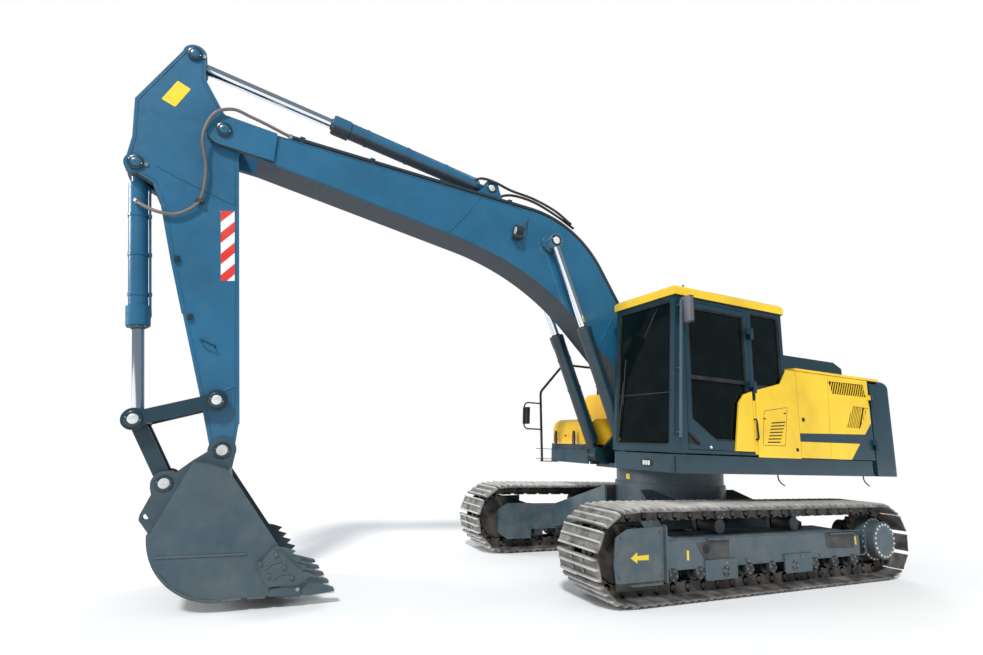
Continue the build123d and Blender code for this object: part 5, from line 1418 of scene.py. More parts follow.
@dataclass
class BoomDress(Dress):
    """Welds, work lamp, pipe fittings and hoses of the boom."""

    body: Body = Body.BOOM
    half: float = 205.0
    cross_seams: tuple = (
        ((4985.0, 4128.0), (5012.0, 3842.0)),
        ((2850.0, 4024.0), (3020.0, 3770.0), (3200.0, 3535.0)),
        ((980.0, 2960.0), (1190.0, 2560.0)))
    edge_seams: tuple = (
        ((2300.0, 4006.0), (5000.0, 4136.0)),
        ((2900.0, 3472.0), (5100.0, 3862.0)))
    hose_routes: tuple = (
        ((1560.0, 96.0, 4020.0), (1800.0, 92.0, 4150.0), (2100.0, 80.0, 4240.0),
         (2400.0, 84.0, 4270.0), (2640.0, 124.0, 4300.0), (2800.0, 118.0, 4310.0),
         (2880.0, 70.0, 4290.0)),
        ((1500.0, 60.0, 3990.0), (1760.0, 56.0, 4110.0), (2060.0, 44.0, 4215.0),
         (2320.0, 40.0, 4240.0), (2480.0, 40.0, 4205.0), (2540.0, 40.0, 4150.0)))
    lamp_spot: tuple = (2423.0, 270.0, 3700.0)

    def lamp(self) -> None:
        """Work lamp: bezel, lens, bracket plate and cable."""
        bezel = [(60.0, -30.0), (62.0, 0.0), (60.0, 8.0), (50.0, 8.0), (48.0, 2.0)]
        self.fit("boom_lamp_bezel", lathe(bezel, self.lamp_spot, FORWARD), Finish.BLACK)
        lens = [(48.0, 0.0), (46.0, 3.0), (30.0, 7.0), (8.0, 9.0)]
        self.fit("boom_lamp_lens", lathe(lens, self.lamp_spot, FORWARD), Finish.LENS)
        foot = rounded(rectangle(2330.0, 3610.0, 2440.0, 3650.0), 10.0)
        self.fit("boom_lamp_bracket", plate(foot, self.half, 300.0), Finish.DARK, 3.0)
        cable = spline([(2350.0, 262.0, 3706.0), (2290.0, 250.0, 3740.0), (2240.0, 214.0, 3860.0),
                        (2200.0, 190.0, 3990.0)])
        self.fit("boom_lamp_cable", tube(cable, 6.0, 10), Finish.RUBBER)

    def build(self) -> None:
        """Make all fittings of the boom."""
        crossing = side_welds(self.cross_seams, self.half, 6.0)
        edges = side_welds(self.edge_seams, self.half, 5.0)
        self.pair("boom_cross_welds", crossing, Finish.TEAL)
        self.pair("boom_edge_welds", edges, Finish.TEAL)
        hoses = join(*(tube(spline(route), 15.0) for route in self.hose_routes))
        self.fit("boom_hoses", hoses, Finish.RUBBER)
        nut = [(21.0, 0.0), (25.0, 4.0), (25.0, 34.0), (20.0, 38.0)]
        nuts = [lathe(nut, (4872.0, y, 4177.0), (1.0, 0.0, 0.05), 6) for y in (136.0, 184.0)]
        self.fit("boom_pipe_nuts", join(*nuts), Finish.ZINC)
        boss = [(118.0, 0.0), (118.0, 20.0), (108.0, 30.0), (84.0, 30.0)]
        x, z = Pin.LIFT_EYE.value
        self.pair("boom_rod_bosses", lathe(boss, (x, self.half, z), sides=48), Finish.TEAL)
        self.lamp()


@dataclass
class ArmHose(Dress):
    """Bucket cylinder hose: from the boom's pipe in an S over the arm pin to the cylinder."""

    body: Body = Body.ARM
    radius: float = 15.0
    route: tuple = (
        (4896.0, 184.0, 4179.0), (5000.0, 186.0, 4208.0), (5120.0, 192.0, 4240.0),
        (5261.0, 214.0, 4262.0), (5417.0, 262.0, 4262.0), (5560.0, 272.0, 4160.0),
        (5618.0, 262.0, 3919.0), (5556.0, 226.0, 3638.0), (5565.0, 206.0, 3344.0),
        (5699.0, 200.0, 3189.0), (5847.0, 196.0, 3164.0), (5985.0, 150.0, 3215.0),
        (6052.0, 84.0, 3270.0))

    def build(self) -> None:
        """Make the hose between boom and arm, on no body, with its nut and clamp."""
        path = spline(self.route)
        hose = make("arm_hose", tube(path, self.radius, 14, (0.1, 0.9, 0.42)), Finish.HOSE, None)
        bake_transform(hose)
        length = float(np.sum(np.linalg.norm(np.diff(path, axis=0), axis=1)))
        LOG.info("hose of %.2f m", length * MM)
        nut = [(20.0, -20.0), (24.0, -16.0), (24.0, 16.0), (20.0, 20.0)]
        turned = lathe(nut, (6046.0, 92.0, 3266.0), (0.55, -0.55, 0.4), 6)
        self.fit("arm_hose_nut", turned, Finish.ZINC)
        clamp = block((5535.0, 164.0, 3320.0), (5600.0, 224.0, 3352.0))
        self.fit("arm_hose_clamp", clamp, Finish.DARK, 4.0)


@dataclass
class CabDress(Dress):
    """Seals, handles, mirror glass, wiper, roof fittings and seat pads of the cab."""

    face: float = 1340.0
    seat_middle: float = 875.0
    pane: tuple = ((132.0, 1440.0), (620.0, 1440.0), (938.0, 1640.0), (938.0, 2798.0),
                   (132.0, 2798.0))
    quarter: tuple = rectangle(-440.0, 2040.0, 25.0, 2855.0)
    side: tuple = rectangle(-440.0, 1900.0, 990.0, 2855.0)
    screen: tuple = rectangle(465.0, 1370.0, 1285.0, 2855.0)
    corner: float = 55.0

    def door(self, name: str, shape: Shape, finish: Finish, bevel: float = 0.0) -> None:
        """Make a piece that rides on the cab's door."""
        make(name, shape, finish, Body.CAB_DOOR, bevel)

    def on_front(self, outline: Array, depth: float) -> Array:
        """Points of the leaning front: width and height as given, length from height less depth.

        Args:
            outline: Rows of width and height.
            depth: Distance behind the front.

        Returns:
            Points in space.
        """
        outline = np.asarray(outline, float)
        length = 1190.0 - 82.0 * (outline[:, 1] - 1305.0) / 1595.0 - depth
        return np.stack([length, outline[:, 0], outline[:, 1]], axis=1)

    def seals(self) -> None:
        """Rubber seals round the panes and across the screen."""
        back, front = self.face - 26.0, self.face - 6.0
        self.door("door_seal", band(rounded(self.pane, 40.0), 18.0, back, front), Finish.SEAL)
        cover = rectangle(132.0, 2043.0, 938.0, 2082.0)
        self.door("door_bar_cover", plate(cover, self.face - 1.0, self.face + 3.0), Finish.SEAL)
        quarter = band(rounded(self.quarter, self.corner), 20.0, back, front)
        self.fit("quarter_seal", quarter, Finish.SEAL)
        side = band(rounded(self.side, self.corner), 20.0, 416.0, 434.0)
        self.fit("side_seal", side, Finish.SEAL)
        ring = band(rounded(self.screen, self.corner), 20.0, 26.0, 6.0, self.on_front)
        split = rectangle(470.0, 1893.0, 1280.0, 1903.0)
        bar = grid(np.stack([self.on_front(split, depth) for depth in (30.0, 18.0)]))
        self.fit("screen_seal", join(ring, bar), Finish.SEAL)

    def wiper(self) -> None:
        """Parked wiper: arm, blade and motor boss on the screen's right edge."""
        reach = polyline([(500.0, 1420.0), (520.0, 1700.0), (560.0, 2050.0)], 40.0)
        blade = polyline([(545.0, 1800.0), (575.0, 2300.0)], 40.0)
        boss = [(26.0, 0.0), (24.0, 18.0), (12.0, 24.0)]
        parts = (tube(self.on_front(reach, 2.0), 7.0, 8), tube(self.on_front(blade, 12.0), 6.0, 8),
                 lathe(boss, (1160.0, 500.0, 1420.0), (1.0, 0.0, 0.05), 20))
        self.fit("screen_wiper", join(*parts), Finish.BLACK)

    def handles(self) -> None:
        """Recessed door handle, door stud, grab bar and the strip on the post behind the door."""
        skin = self.face
        cup = rounded([(985.0, 1402.0), (838.0, 1384.0), (838.0, 1412.0), (960.0, 1508.0),
                       (985.0, 1500.0)], 16.0)
        self.door("door_handle_cup", plate(cup, skin - 2.0, skin + 6.0), Finish.SEAL, 2.0)
        lever = spline([(848.0, skin + 4.0, 1402.0), (880.0, skin + 20.0, 1414.0),
                        (940.0, skin + 24.0, 1452.0), (975.0, skin + 16.0, 1490.0),
                        (978.0, skin + 4.0, 1496.0)], 8)
        self.door("door_handle", tube(lever, 10.0), Finish.BLACK)
        stud = [(15.0, -2.0), (15.0, 4.0), (10.0, 9.0)]
        self.door("door_stud", lathe(stud, (693.0, skin, 1372.0), sides=20), Finish.BRIGHT)
        grab = spline([(44.0, skin - 4.0, 1470.0), (46.0, skin + 38.0, 1484.0),
                       (54.0, skin + 42.0, 1578.0), (58.0, skin + 38.0, 1670.0),
                       (58.0, skin - 4.0, 1684.0)], 8)
        self.fit("cab_grab_bar", tube(grab, 9.0), Finish.BLACK)
        strip = rectangle(28.0, 1318.0, 62.0, 1880.0)
        self.fit("door_post_strip", plate(strip, skin - 3.0, skin + 8.0), Finish.YELLOW)

    def mirror(self) -> None:
        """Mirror pane with its rim and the rounded shell behind it."""
        pane = rounded(rectangle(1374.0, 2612.0, 1476.0, 2858.0), 18.0)
        self.fit("left_mirror_pane", plate(pane, 1002.0, 1006.0, 0), Finish.CHROME)
        rim = rounded(rectangle(1366.0, 2604.0, 1484.0, 2866.0), 20.0)
        self.fit("left_mirror_rim", band(rim, 9.0, 1030.0, 999.0, stand), Finish.BLACK)
        shell = rounded(rectangle(1360.0, 2597.0, 1490.0, 2873.0), 24.0)
        rows = [stand(shell, 1012.0), stand(shell, 1046.0), stand(inset(shell, 5.0), 1054.0),
                stand(inset(shell, 16.0), 1058.0)]
        self.fit("left_mirror_shell", grid(np.stack(rows)), Finish.GREY)

    def roof(self) -> None:
        """Aerial stub, lifting plugs and side gasket of the roof."""
        stub = [(16.0, 0.0), (16.0, 10.0), (11.0, 14.0), (11.0, 42.0), (8.0, 48.0)]
        plug = lathe([(14.0, 0.0), (14.0, 7.0), (8.0, 11.0)], (0.0, 0.0, 3008.0), UP, 12)
        places = np.array([(x, y, 0.0) for y in (1270.0, 480.0) for x in (354.0, -232.0)])
        made = join(lathe(stub, (900.0, 1250.0, 3006.0), UP, 16), plug.copies(places))
        self.fit("roof_stub", made, Finish.BLACK)
        gasket = rectangle(-505.0, 2903.0, 1120.0, 2890.0)
        self.fit("roof_gasket", plate(gasket, self.face - 2.0, self.face + 8.0), Finish.SEAL)

    def pad(self, corners: tuple, half: float, power: float = 0.32) -> Shape:
        """Crowned pad: superellipsoid whose parts pick a point in the side outline and a width.

        Args:
            corners: Four side corners, lower rear, lower front, upper front, upper rear.
            half: Half width.
            power: Exponent of sine and cosine; smaller is boxier.

        Returns:
            Closed pad.
        """
        a = np.linspace(-0.49 * math.pi, 0.49 * math.pi, 25)[:, None]
        b = angles(48)[None]
        waves = (np.cos(a), np.sin(a), np.cos(b), np.sin(b))
        bent = [np.sign(wave) * np.abs(wave) ** power for wave in waves]
        u, v, w = bent[0] * bent[2], bent[0] * bent[3], np.broadcast_to(bent[1], (25, 48))
        crown = 1.0 - 0.1 * (u**2 + v**2) * np.abs(w)
        s, t = ((part * crown + 1.0)[..., None] / 2.0 for part in (u, w))
        p = np.asarray(corners, float)[:, None, None]
        flat = (1 - s) * ((1 - t) * p[0] + t * p[3]) + s * ((1 - t) * p[1] + t * p[2])
        width = self.seat_middle + half * v * crown
        return grid(np.stack([flat[..., 0], width, flat[..., 1]], axis=-1))

    def seat(self) -> None:
        """Pads of the seat on its box."""
        cushion = self.pad(rectangle(10.0, 1690.0, 500.0, 1815.0), 230.0)
        back = ((10.0, 1805.0), (130.0, 1805.0), (20.0, 2400.0), (-70.0, 2400.0))
        head = ((-62.0, 2395.0), (18.0, 2395.0), (-10.0, 2580.0), (-75.0, 2580.0))
        pads = join(cushion, self.pad(back, 230.0), self.pad(head, 130.0))
        cushions = self.fit("seat_pads", pads, Finish.CLOTH)
        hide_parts("seat")
        box = block((60.0, 725.0, 1365.0), (420.0, 1025.0, 1700.0))
        base = self.fit("seat_box", box, Finish.BLACK, 8.0)
        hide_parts("seat")

    def build(self) -> None:
        """Make all fittings of the cab."""
        for work in (self.seals, self.wiper, self.handles, self.mirror, self.roof, self.seat):
            work()


@dataclass
class PanelDress(Dress):
    """Hatch, seams, creases and latches of the covers, the lamp in the deck and the tail lights."""

    face: float = 1358.0
    tail_radius: float = 2485.0
    tail_centre: float = -365.0

    def line(self, points: list, width: float = 5.0) -> Shape:
        """Thin round strip on the side along a line.

        Args:
            points: Corners of the line in the side view.
            width: Width of the strip.

        Returns:
            Strip that stands just under a millimetre proud.
        """
        path = lift(polyline(points, 40.0), self.face - 0.5 * width + 0.8)
        return tube(path, 0.5 * width, 6)

    def slat(self, x: float, z: float) -> Shape:
        """Slanted slat of the rear grille from a lower corner up to the grille's top.

        Args:
            x: Length of the lower corner.
            z: Height of the lower corner.

        Returns:
            One slat on the left.
        """
        lean = 0.45 * (1925.0 - z)
        outline = ((x, z), (x - lean, 1925.0), (x - 14.0 - lean, 1925.0), (x - 14.0, z))
        return plate(outline, self.face - 30.0, self.face - 6.0)

    def covers(self) -> None:
        """Hatch outline, door seam, creases, slats and latches."""
        skin = self.face
        hatch = ((-38.0, 1414.0), (-395.0, 1418.0), (-468.0, 1842.0), (-89.0, 1782.0))
        seam = band(rounded(hatch, 30.0), 5.0, skin - 1.0, skin + 0.6)
        self.fit("hatch_seam", seam, Finish.SEAL)
        latch = [(20.0, -1.0), (20.0, 5.0), (14.0, 8.0)]
        parts = [lathe(latch, (-584.0, skin, 1386.0), sides=20)]
        for x, z in ((-70.0, 1690.0), (-400.0, 1765.0)):
            slot = ((x, z), (x - 34.0, z + 3.0), (x - 34.0, z + 15.0), (x, z + 12.0))
            parts.append(plate(rounded(slot, 4.0), skin - 1.0, skin + 4.0))
        self.fit("hatch_latches", join(*parts), Finish.BLACK)
        front = [(10.0, 1880.0), (-200.0, 1930.0), (-420.0, 1966.0), (-640.0, 1982.0)]
        self.fit("front_crease", self.line(front, 7.0), Finish.YELLOW)
        seam = self.line([(-1212.0, 2240.0), (-1156.0, 1310.0)])
        make("door_seam", seam, Finish.SEAL, Body.LEFT_DOOR)
        crease = self.line([(-660.0, 1984.0), (-1069.0, 1984.0), (-1962.0, 1958.0)], 7.0)
        make("door_crease", crease, Finish.YELLOW, Body.LEFT_DOOR)
        corners = ((-1798.0, 1740.0), (-1850.0, 1812.0), (-1902.0, 1885.0))
        slats = join(*(self.slat(x, z) for x, z in corners))
        make("left_grille_slats", slats, Finish.YELLOW_COVER, Body.LEFT_DOOR)
        make("right_grille_slats", slats.mirrored(), Finish.YELLOW_COVER, Body.RIGHT_DOOR)
        lock = lathe([(24.0, -1.0), (24.0, 4.0), (18.0, 7.0)], (-720.0, skin, 1720.0), sides=20)
        make("side_door_locks", lock, Finish.BLACK, Body.LEFT_DOOR)
        make("right_door_locks", lock.mirrored(), Finish.BLACK, Body.RIGHT_DOOR)

    def deck(self) -> None:
        """Oval lamp in the deck's front, drain hoses below and the welds along the sides."""
        middle = 963.0
        oval = circle(32, 1.0) * (84.0, 40.0) + (middle, 1195.0)
        self.fit("deck_lamp_bezel", plate(oval, 1192.0, 1200.0, 0), Finish.BLACK, 2.0)
        cells = []
        for y in (middle - 38.0, middle, middle + 38.0):
            cell = rounded(rectangle(y - 15.0, 1172.0, y + 15.0, 1218.0), 8.0)
            cells.append(plate(cell, 1198.0, 1203.0, 0))
        self.fit("deck_lamp_cells", join(*cells), Finish.LENS)
        drains = []
        for x in (-330.0, -1830.0):
            route = [(x, 1290.0, 1130.0), (x + 4.0, 1292.0, 1080.0), (x - 18.0, 1300.0, 1035.0),
                     (x - 70.0, 1310.0, 1000.0)]
            drains.append(tube(spline(route, 8), 7.0, 8))
        self.fit("deck_drain_hoses", join(*drains), Finish.RUBBER)
        beads = [self.line([(1150.0, z), (-1955.0, z)], 8.0) for z in (1276.0, 1140.0)]
        self.pair("deck_welds", join(*beads), Finish.TEAL_HOUSE)

    def tail(self) -> None:
        """Blank red lenses on the round rear of the counterweight, and its pour line."""
        radius, middle = self.tail_radius, self.tail_centre
        lens = [(52.0, -10.0), (52.0, 8.0), (40.0, 14.0), (10.0, 16.0)]
        lamps = []
        for y in (-980.0, 980.0):
            depth = math.sqrt(radius**2 - y**2)
            axis = (-depth / radius, y / radius, 0.0)
            lamps.append(lathe(lens, (middle - depth, y, 1330.0), axis, 28))
        self.fit("tail_lenses", join(*lamps), Finish.RED)
        y = np.linspace(-1180.0, 1180.0, 60)
        path = np.stack([middle + 2.0 - np.sqrt(radius**2 - y**2), y, np.full(60, 1450.0)], axis=1)
        self.fit("tail_pour_line", tube(path, 5.0, 6, UP), Finish.TEAL)

    def right_front(self) -> None:
        """Rubber latches of the tool box lid and the tank's filler cap."""
        outline = rounded([(-1170.0, 1345.0), (-1130.0, 1345.0), (-1122.0, 1440.0),
                           (-1136.0, 1530.0), (-1164.0, 1530.0), (-1178.0, 1440.0)], 12.0)
        strap = plate(outline, 944.0, 966.0, 0)
        slot = rounded(rectangle(-945.0, 1450.0, -893.0, 1474.0), 9.0)
        latches = join(strap, strap.moved((0.0, 442.0, 0.0)), plate(slot, 944.0, 950.0, 0))
        make("lid_latches", latches, Finish.RUBBER, Body.LID, 3.0)
        cap = [(80.0, -2.0), (80.0, 22.0), (72.0, 34.0), (30.0, 38.0)]
        self.fit("tank_cap", lathe(cap, (-120.0, -900.0, 2080.0), UP), Finish.BLACK)

    def hood(self) -> None:
        """Two lift handles on the engine hood."""
        bow = spline([(-760.0, 0.0, 2520.0), (-764.0, 0.0, 2562.0), (-764.0, 120.0, 2568.0),
                      (-764.0, 236.0, 2562.0), (-760.0, 240.0, 2520.0)], 8)
        bars = [tube(bow + (0.0, y, 0.0), 9.0, 12, (1.0, 0.2, 0.1)) for y in (-520.0, 280.0)]
        make("hood_handles", join(*bars), Finish.BLACK, Body.HOOD)

    def build(self) -> None:
        """Make all fittings of the house's covers."""
        for work in (self.covers, self.deck, self.tail, self.right_front, self.hood):
            work()


@dataclass
class UndercarriageDress(Dress):
    """Idler guards with arrows, painted shade of the step pockets, bolts of drives and rollers, and
    frame welds.
    """

    body: Body = Body.UNDERCARRIAGE
    face: float = 1385.0
    hub: tuple = (-1825.0, 412.0)
    rollers: tuple = tuple((x, 0.0, 222.0) for x in np.linspace(-1330.0, 1290.0, 9))
    carriers: tuple = ((587.0, 0.0, 740.0), (-510.0, 0.0, 740.0))
    guards: tuple = ((-620.0, 0.0, 0.0), (480.0, 0.0, 0.0))

    def guard(self) -> None:
        """Cover plate of the idler with its bent foot, rear flange, bolts and travel arrow."""
        skin = self.face
        upper = [(1400.0, 646.0), (1807.0, 634.0), (1940.0, 567.0), (1958.0, 343.0),
                 (1940.0, 190.0), (1400.0, 190.0)]
        sheet = plate(rounded(upper, 18.0), skin, skin + 14.0)
        foot = [[(1400.0, top, 192.0), (1940.0, top, 192.0), (1906.0, low, 112.0),
                 (1462.0, low, 112.0)] for top, low in ((1399.0, 1350.0), (1385.0, 1338.0))]
        rear = rounded([(1380.0, 170.0), (1396.0, 170.0), (1396.0, 668.0), (1380.0, 640.0)], 5.0)
        parts = (sheet, grid(np.array(foot)), plate(rear, skin - 4.0, skin + 44.0))
        self.pair("idler_guards", join(*parts), Finish.TEAL_LOW, 3.0)
        places = np.array([(1440.0, 0.0, 600.0), (1440.0, 0.0, 240.0), (1880.0, 0.0, 560.0),
                           (1900.0, 0.0, 240.0)])
        heads = bolt(12.0, 10.0, (0.0, skin + 14.0, 0.0)).copies(places)
        self.pair("idler_guard_bolts", heads, Finish.TEAL_LOW)
        arrow = [(1780.0, 392.0), (1706.0, 438.0), (1706.0, 408.0), (1576.0, 412.0),
                 (1576.0, 368.0), (1706.0, 372.0), (1706.0, 344.0)]
        self.pair("travel_arrows", plate(arrow, skin + 13.0, skin + 15.0), Finish.SIGN)

    def frame(self) -> None:
        """Painted shade of the step pockets, treads, blank marks, the painted shade of the adjuster
        hole and the welds of the track frame.
        """
        skin = self.face
        # Painted shade: dark plates stand for the shadow inside the step pockets.
        front = [(1000.0, 486.0), (560.0, 520.0), (572.0, 306.0), (880.0, 318.0)]
        rear = [(-880.0, 516.0), (-1386.0, 506.0), (-1360.0, 344.0), (-904.0, 360.0)]
        pockets = [plate(rounded(part, 16.0), skin - 1.0, skin + 3.0) for part in (front, rear)]
        self.pair("step_pocket_shades", join(*pockets), Finish.POCKET)
        treads = [plate(rectangle(x0, z, x1, z + 16.0), skin, skin + 30.0)
                  for x0, x1, z in ((600.0, 860.0, 508.0), (-1350.0, -930.0, 500.0))]
        self.pair("step_treads", join(*treads), Finish.TEAL_LOW, 3.0)
        marks = []
        for x, z in ((1101.0, 382.0), (-1400.0, 420.0)):
            mark = ((x - 12.0, z - 45.0), (x + 12.0, z - 40.0), (x + 12.0, z + 45.0),
                    (x - 12.0, z + 40.0))
            marks.append(plate(mark, skin, skin + 3.5))
        self.pair("frame_blank_marks", join(*marks), Finish.SIGN)
        # Painted shade: a dark disc stands for the shadow in the adjuster hole.
        hole = lathe([(44.0, 2.0), (44.0, 4.5), (36.0, 4.5)], (869.0, skin, 430.0), sides=28)
        self.pair("adjuster_hole_shades", hole, Finish.SEAL)
        edge = [(1376.0, 528.0), (-1540.0, 528.0), (-1580.0, 500.0), (-1580.0, 300.0),
                (-1540.0, 268.0), (1376.0, 268.0)]
        self.pair("track_frame_welds", side_welds([edge], skin, 8.0, 12.0), Finish.TEAL_LOW)

    def wheels(self) -> None:
        """Bolted covers of the drives, carrier rollers and track rollers."""
        x, z = self.hub
        cover = [(196.0, -2.0), (196.0, 5.0), (188.0, 9.0), (120.0, 9.0), (112.0, 4.0)]
        self.pair("drive_covers", lathe(cover, (x, 1447.0, z), sides=64), Finish.TEAL_LOW)
        bolts = join(bolt_ring(20, 174.0, 9.0, 9.0, (x, 1456.0, z)),
                     bolt_ring(24, 219.0, 8.0, 8.0, (x, 1345.0, z)))
        self.pair("drive_bolts", bolts, Finish.BRIGHT)
        roller = [(58.0, 0.0), (58.0, 10.0), (50.0, 18.0), (24.0, 18.0), (20.0, 12.0)]
        carrier = [(70.0, -4.0), (70.0, 8.0), (62.0, 16.0), (26.0, 16.0)]
        roller_bolts = bolt_ring(4, 38.0, 7.0, 7.0, (0.0, 1402.0, 0.0))
        carrier_bolts = bolt_ring(6, 46.0, 7.0, 7.0, (0.0, 1320.0, 0.0))
        caps = (
            ("roller", lathe(roller, (0.0, 1384.0, 0.0), sides=28), roller_bolts, self.rollers),
            ("carrier", lathe(carrier, (0.0, 1304.0, 0.0)), carrier_bolts, self.carriers))
        for name, cap, heads, places in caps:
            self.pair(f"{name}_caps", cap.copies(np.array(places)), Finish.DARK)
            self.pair(f"{name}_bolts", heads.copies(np.array(places)), Finish.ZINC)
        spots = np.array([(-150.0, 0.0, 300.0), (150.0, 0.0, 300.0)])
        heads = bolt(12.0, 10.0, (0.0, 1401.0, 0.0)).copies(spots).copies(np.array(self.guards))
        self.pair("roller_guard_bolts", heads, Finish.ZINC)
        plain = plate(rectangle(-34.0, 966.0, 28.0, 1026.0), 638.0, 643.0, 0)
        self.fit("bearing_reflector", plain, Finish.SIGN)

    def build(self) -> None:
        """Make all fittings of the undercarriage."""
        for work in (self.guard, self.frame, self.wheels):
            work()


@dataclass
class BucketDress(Dress):
    """Strips, heel plates, cutter bolts and ribs, tooth adapters and welds of the bucket."""

    body: Body = Body.BUCKET
    face: float = 590.0
    cutter_face: float = 621.0
    back: tuple = ((5504.0, 575.0), (5365.0, 262.0), (4921.0, 103.0))
    floor_end: tuple = (4640.0, 103.0)
    cuts: tuple = (5420.0, 5315.0, 5149.0, 4981.0, 4819.0, 4644.0)

    def heel(self) -> Array:
        """Lower outline: the back's circle through its three points, then the straight floor.

        Returns:
            Side points from the upper back to the lip.
        """
        a, b, c = (np.array(point) for point in self.back)
        lines = 2.0 * np.array([b - a, c - a])
        centre = np.linalg.solve(lines, np.array([b @ b - a @ a, c @ c - a @ a]))
        start, end = (math.atan2(*(point - centre)[::-1]) for point in (a, c))
        angle = np.linspace(start, end, 60)
        ring = np.stack([np.cos(angle), np.sin(angle)], axis=1)
        floor = polyline([self.back[-1], self.floor_end], 20.0)[1:]
        return np.concatenate([centre + np.linalg.norm(a - centre) * ring, floor])

    def wear_plates(self) -> Shape:
        """Plates along the heel: the outline carried outwards, cut at the notches.

        Returns:
            Plates on the left.
        """
        line = self.heel()
        out = unit(np.gradient(line, axis=0))[:, ::-1] * (-1.0, 1.0)
        away = np.sum(out * (line - line.mean(axis=0)), axis=1, keepdims=True)
        out = out * np.where(away < 0.0, -1.0, 1.0)
        inner, outer = self.face - 52.0, self.face + 6.0
        parts = []
        for high, low in zip(self.cuts[:-1], self.cuts[1:]):
            inside = (line[:, 0] < high - 9.0) & (line[:, 0] > low + 9.0)
            path, normal = line[inside], out[inside]
            root, crest = path - 4.0 * normal, path + 13.0 * normal
            rows = [lift(root, inner), lift(crest, inner), lift(crest, outer), lift(root, outer)]
            parts.append(grid(np.stack(rows, axis=1)))
        return join(*parts)

    def cutters(self) -> None:
        """Bolts and raised ribs of the side cutters."""
        places = np.array([(4728.0, 0.0, 347.0), (4620.0, 0.0, 407.0), (4551.0, 0.0, 312.0),
                           (4660.0, 0.0, 253.0), (4483.0, 0.0, 234.0)])
        heads = bolt(17.0, 16.0, (0.0, self.cutter_face, 0.0)).copies(places)
        self.pair("cutter_bolts", heads, Finish.TEAL_TOOL)
        ribs = (((4700.0, 300.0), (4640.0, 348.0), (4575.0, 360.0)),
                ((4625.0, 225.0), (4580.0, 262.0), (4500.0, 268.0)),
                ((4640.0, 455.0), (4600.0, 450.0), (4430.0, 300.0)))
        level = self.cutter_face + 1.0
        beads = [tube(lift(polyline(rib, 15.0), level), 8.0, 8) for rib in ribs]
        self.pair("cutter_ribs", join(*beads), Finish.TEAL_TOOL)

    def build(self) -> None:
        """Make all fittings of the bucket."""
        strip = rounded([(5450.0, 412.0), (5450.0, 428.0), (4832.0, 426.0), (4832.0, 410.0)], 6.0)
        side = plate(strip, self.face - 2.0, self.face + 10.0)
        self.pair("bucket_strips", side, Finish.TEAL_LOW, 3.0)
        self.pair("heel_plates", self.wear_plates(), Finish.TEAL_LOW, 2.0)
        self.cutters()
        shape = rounded([(4404.0, 198.0), (4630.0, 158.0), (4640.0, 100.0), (4404.0, 82.0)], 14.0)
        places = np.array([(0.0, y, 0.0) for y in np.linspace(-542.0, 542.0, 5)])
        adapters = plate(shape, -62.0, 62.0).copies(places)
        self.fit("tooth_adapters", adapters, Finish.TEAL_TOOL, 5.0)
        pin = lathe([(14.0, -66.0), (14.0, 66.0)], (4432.0, 0.0, 140.0), sides=14)
        self.fit("tooth_pins", pin.copies(places), Finish.ZINC)
        ear = [(5330.0, 1040.0), (5290.0, 900.0), (5430.0, 640.0)]
        self.pair("bucket_ear_welds", side_welds([ear], 214.0, 6.0, 10.0), Finish.TEAL_TOOL)


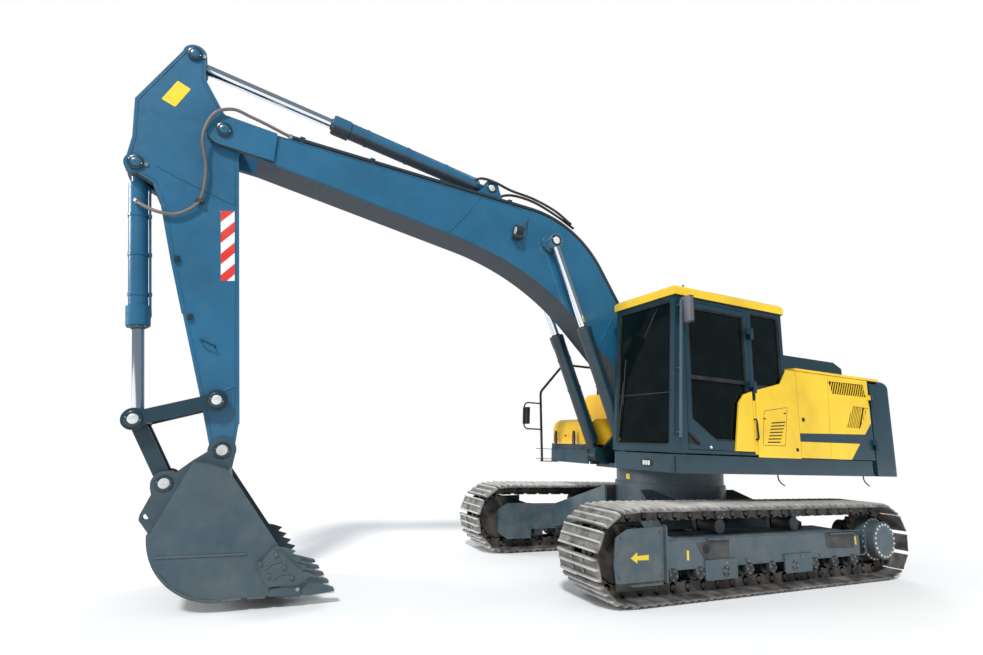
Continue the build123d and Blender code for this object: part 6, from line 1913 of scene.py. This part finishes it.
@dataclass
class Studio:
    """Pale floor, soft light and the camera of the photograph."""

    eye: tuple = (3.400, 5.379, 1.331)
    heading: float = 64.91
    pitch: float = -12.06
    roll: float = 2.3
    focal: float = 538.3
    picture_width: float = 983.0
    sensor: float = 36.0
    sky: float = 0.55
    gleam: float = 0.3
    floor_reach: float = 60.0
    floor_drop: float = 0.001
    # The floor fades to white between these squared distances in metres.
    fade: tuple = (20.0, 90.0)
    # Name, direction from the object, width in degrees and strength of each light.
    suns: tuple = (
        ("key", (0.5, 0.65, 0.8), 8.0, 2.5),
        ("rim", (-0.6, -0.6, 0.7), 25.0, 0.5),
        ("front", (0.9, -0.3, 0.3), 20.0, 1.6))

    def add(self, name: str, data: bpy.types.ID, axes: list, place: tuple) -> bpy.types.Object:
        """Put a camera or light into the scene.

        Args:
            name: Name of the object.
            data: Camera or light.
            axes: Its three directions in space.
            place: Its place.

        Returns:
            The new object.
        """
        thing = bpy.data.objects.new(name, data)
        pose = np.eye(4)
        pose[:3, :3] = np.stack(axes, axis=1)
        pose[:3, 3] = place
        thing.matrix_world = Matrix(pose.tolist())
        bpy.context.scene.collection.objects.link(thing)
        return thing

    def camera(self) -> None:
        """Set the camera from heading, pitch, roll and focal length in pixels."""
        heading, pitch, roll = map(math.radians, (self.heading, self.pitch, self.roll))
        level = math.cos(pitch)
        look = -np.array([math.cos(heading) * level, math.sin(heading) * level, math.sin(pitch)])
        right = unit(np.cross(look, UP))
        top = np.cross(right, look)
        turned = math.cos(roll) * right + math.sin(roll) * top
        upright = math.cos(roll) * top - math.sin(roll) * right
        data = bpy.data.cameras.new("camera")
        data.sensor_fit = "HORIZONTAL"
        data.sensor_width = self.sensor
        data.lens = self.focal / self.picture_width * self.sensor
        camera = self.add("camera", data, [turned, upright, -look], self.eye)
        bpy.context.scene.camera = camera

    def sun(self, name: str, toward: tuple, spread: float, strength: float) -> None:
        """Add one soft distant light.

        Args:
            name: Name of the light.
            toward: Direction from the object to the light.
            spread: Angle of its disc in degrees.
            strength: Strength in watts per square metre.
        """
        data = bpy.data.lights.new(name, "SUN")
        data.angle = math.radians(spread)
        data.energy = strength
        back = unit(np.asarray(toward, float))
        side = unit(np.cross(UP, back))
        self.add(name, data, [side, np.cross(back, side), back], ORIGIN)

    def world(self) -> None:
        """White for the camera, a pale even sky for light and a dimmer one for reflections."""
        bpy.context.scene.world = bpy.data.worlds.new("studio")
        recipe = Recipe("studio", bpy.context.scene.world)
        tints = (((0.88, 0.94, 1.0, 1.0), self.sky), ((0.7, 0.86, 1.0, 1.0), self.gleam),
                 (WHITE, 1.0))
        sky, dim, white = (
            recipe.node("ShaderNodeBackground", {}, {"Color": tint, "Strength": strength})
            for tint, strength in tints)
        seen, mirrored = recipe.ray("Is Camera Ray"), recipe.ray("Is Glossy Ray")
        light = recipe.node("ShaderNodeMixShader", {}, {0: mirrored, 1: sky, 2: dim})
        both = recipe.node("ShaderNodeMixShader", {}, {0: seen, 1: light, 2: white})
        recipe.node("ShaderNodeOutputWorld", {}, {"Surface": both})

    def floor(self) -> None:
        """Wide pale floor just below the tracks that fades to plain white away from the machine."""
        mesh = bpy.data.meshes.new("floor")
        reach, level = self.floor_reach, -self.floor_drop
        corners = [(x, y, level) for x, y in rectangle(-reach, -reach, reach, reach)]
        mesh.from_pydata(corners, [], [(0, 1, 2, 3)])
        recipe = Recipe("studio_floor")
        colour = recipe.blend(recipe.noise(0.6, 3.0), (0.9, 0.9, 0.9, 1.0), (0.93, 0.93, 0.93, 1.0))
        dull = {"Base Color": colour, "Roughness": 0.9}
        matt = recipe.node("ShaderNodeBsdfPrincipled", {}, dull)
        white = recipe.node("ShaderNodeEmission", {}, {"Color": WHITE, "Strength": 1.0})
        away = recipe.length() * recipe.length() + recipe.across() * recipe.across()
        far = away.step(*self.fade) * recipe.ray("Is Camera Ray")
        both = recipe.node("ShaderNodeMixShader", {}, {0: far, 1: matt, 2: white})
        recipe.node("ShaderNodeOutputMaterial", {}, {"Surface": both})
        mesh.materials.append(recipe.material)
        floor = bpy.data.objects.new("floor", mesh)
        bpy.context.scene.collection.objects.link(floor)

    def build(self) -> None:
        """Set up floor, world, lights and camera."""
        bpy.context.scene.view_settings.view_transform = "Standard"
        self.floor()
        self.world()
        for sun in self.suns:
            self.sun(*sun)
        self.camera()


def main() -> None:
    """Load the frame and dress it."""
    logging.basicConfig(level=logging.INFO, format="%(message)s")
    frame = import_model()
    Coat(frame["nodes"], NODE_FINISH).dress()
    assemblies = (
        Track(node="left_track", side=LEFT),
        Track(node="right_track", side=RIGHT),
        PinHeads(),
        Cylinder(Body.LIFT_BARRELS, "lift", Pin.LIFT_FOOT, Pin.LIFT_EYE, (297.0, -297.0), 1560.0,
                 78.0, 45.0, lip=7.0, collar=150.0, finish=Finish.TEAL_HOUSE),
        Cylinder(Body.CROWD_BARREL, "crowd", Pin.CROWD_FOOT, Pin.CROWD_EYE, (0.0,), 1850.0,
                 84.0, 50.0),
        Cylinder(Body.CURL_BARREL, "curl", Pin.CURL_FOOT, Pin.LINK, (0.0,), 1420.0,
                 74.0, 45.0, pipe_up=-1.0),
        ArmDress(),
        BoomDress(),
        ArmHose(),
        CabDress(),
        PanelDress(),
        UndercarriageDress(),
        BucketDress(),
    )
    for assembly in assemblies:
        assembly.build()
    Studio().build()


if __name__ == "__main__":
    main()
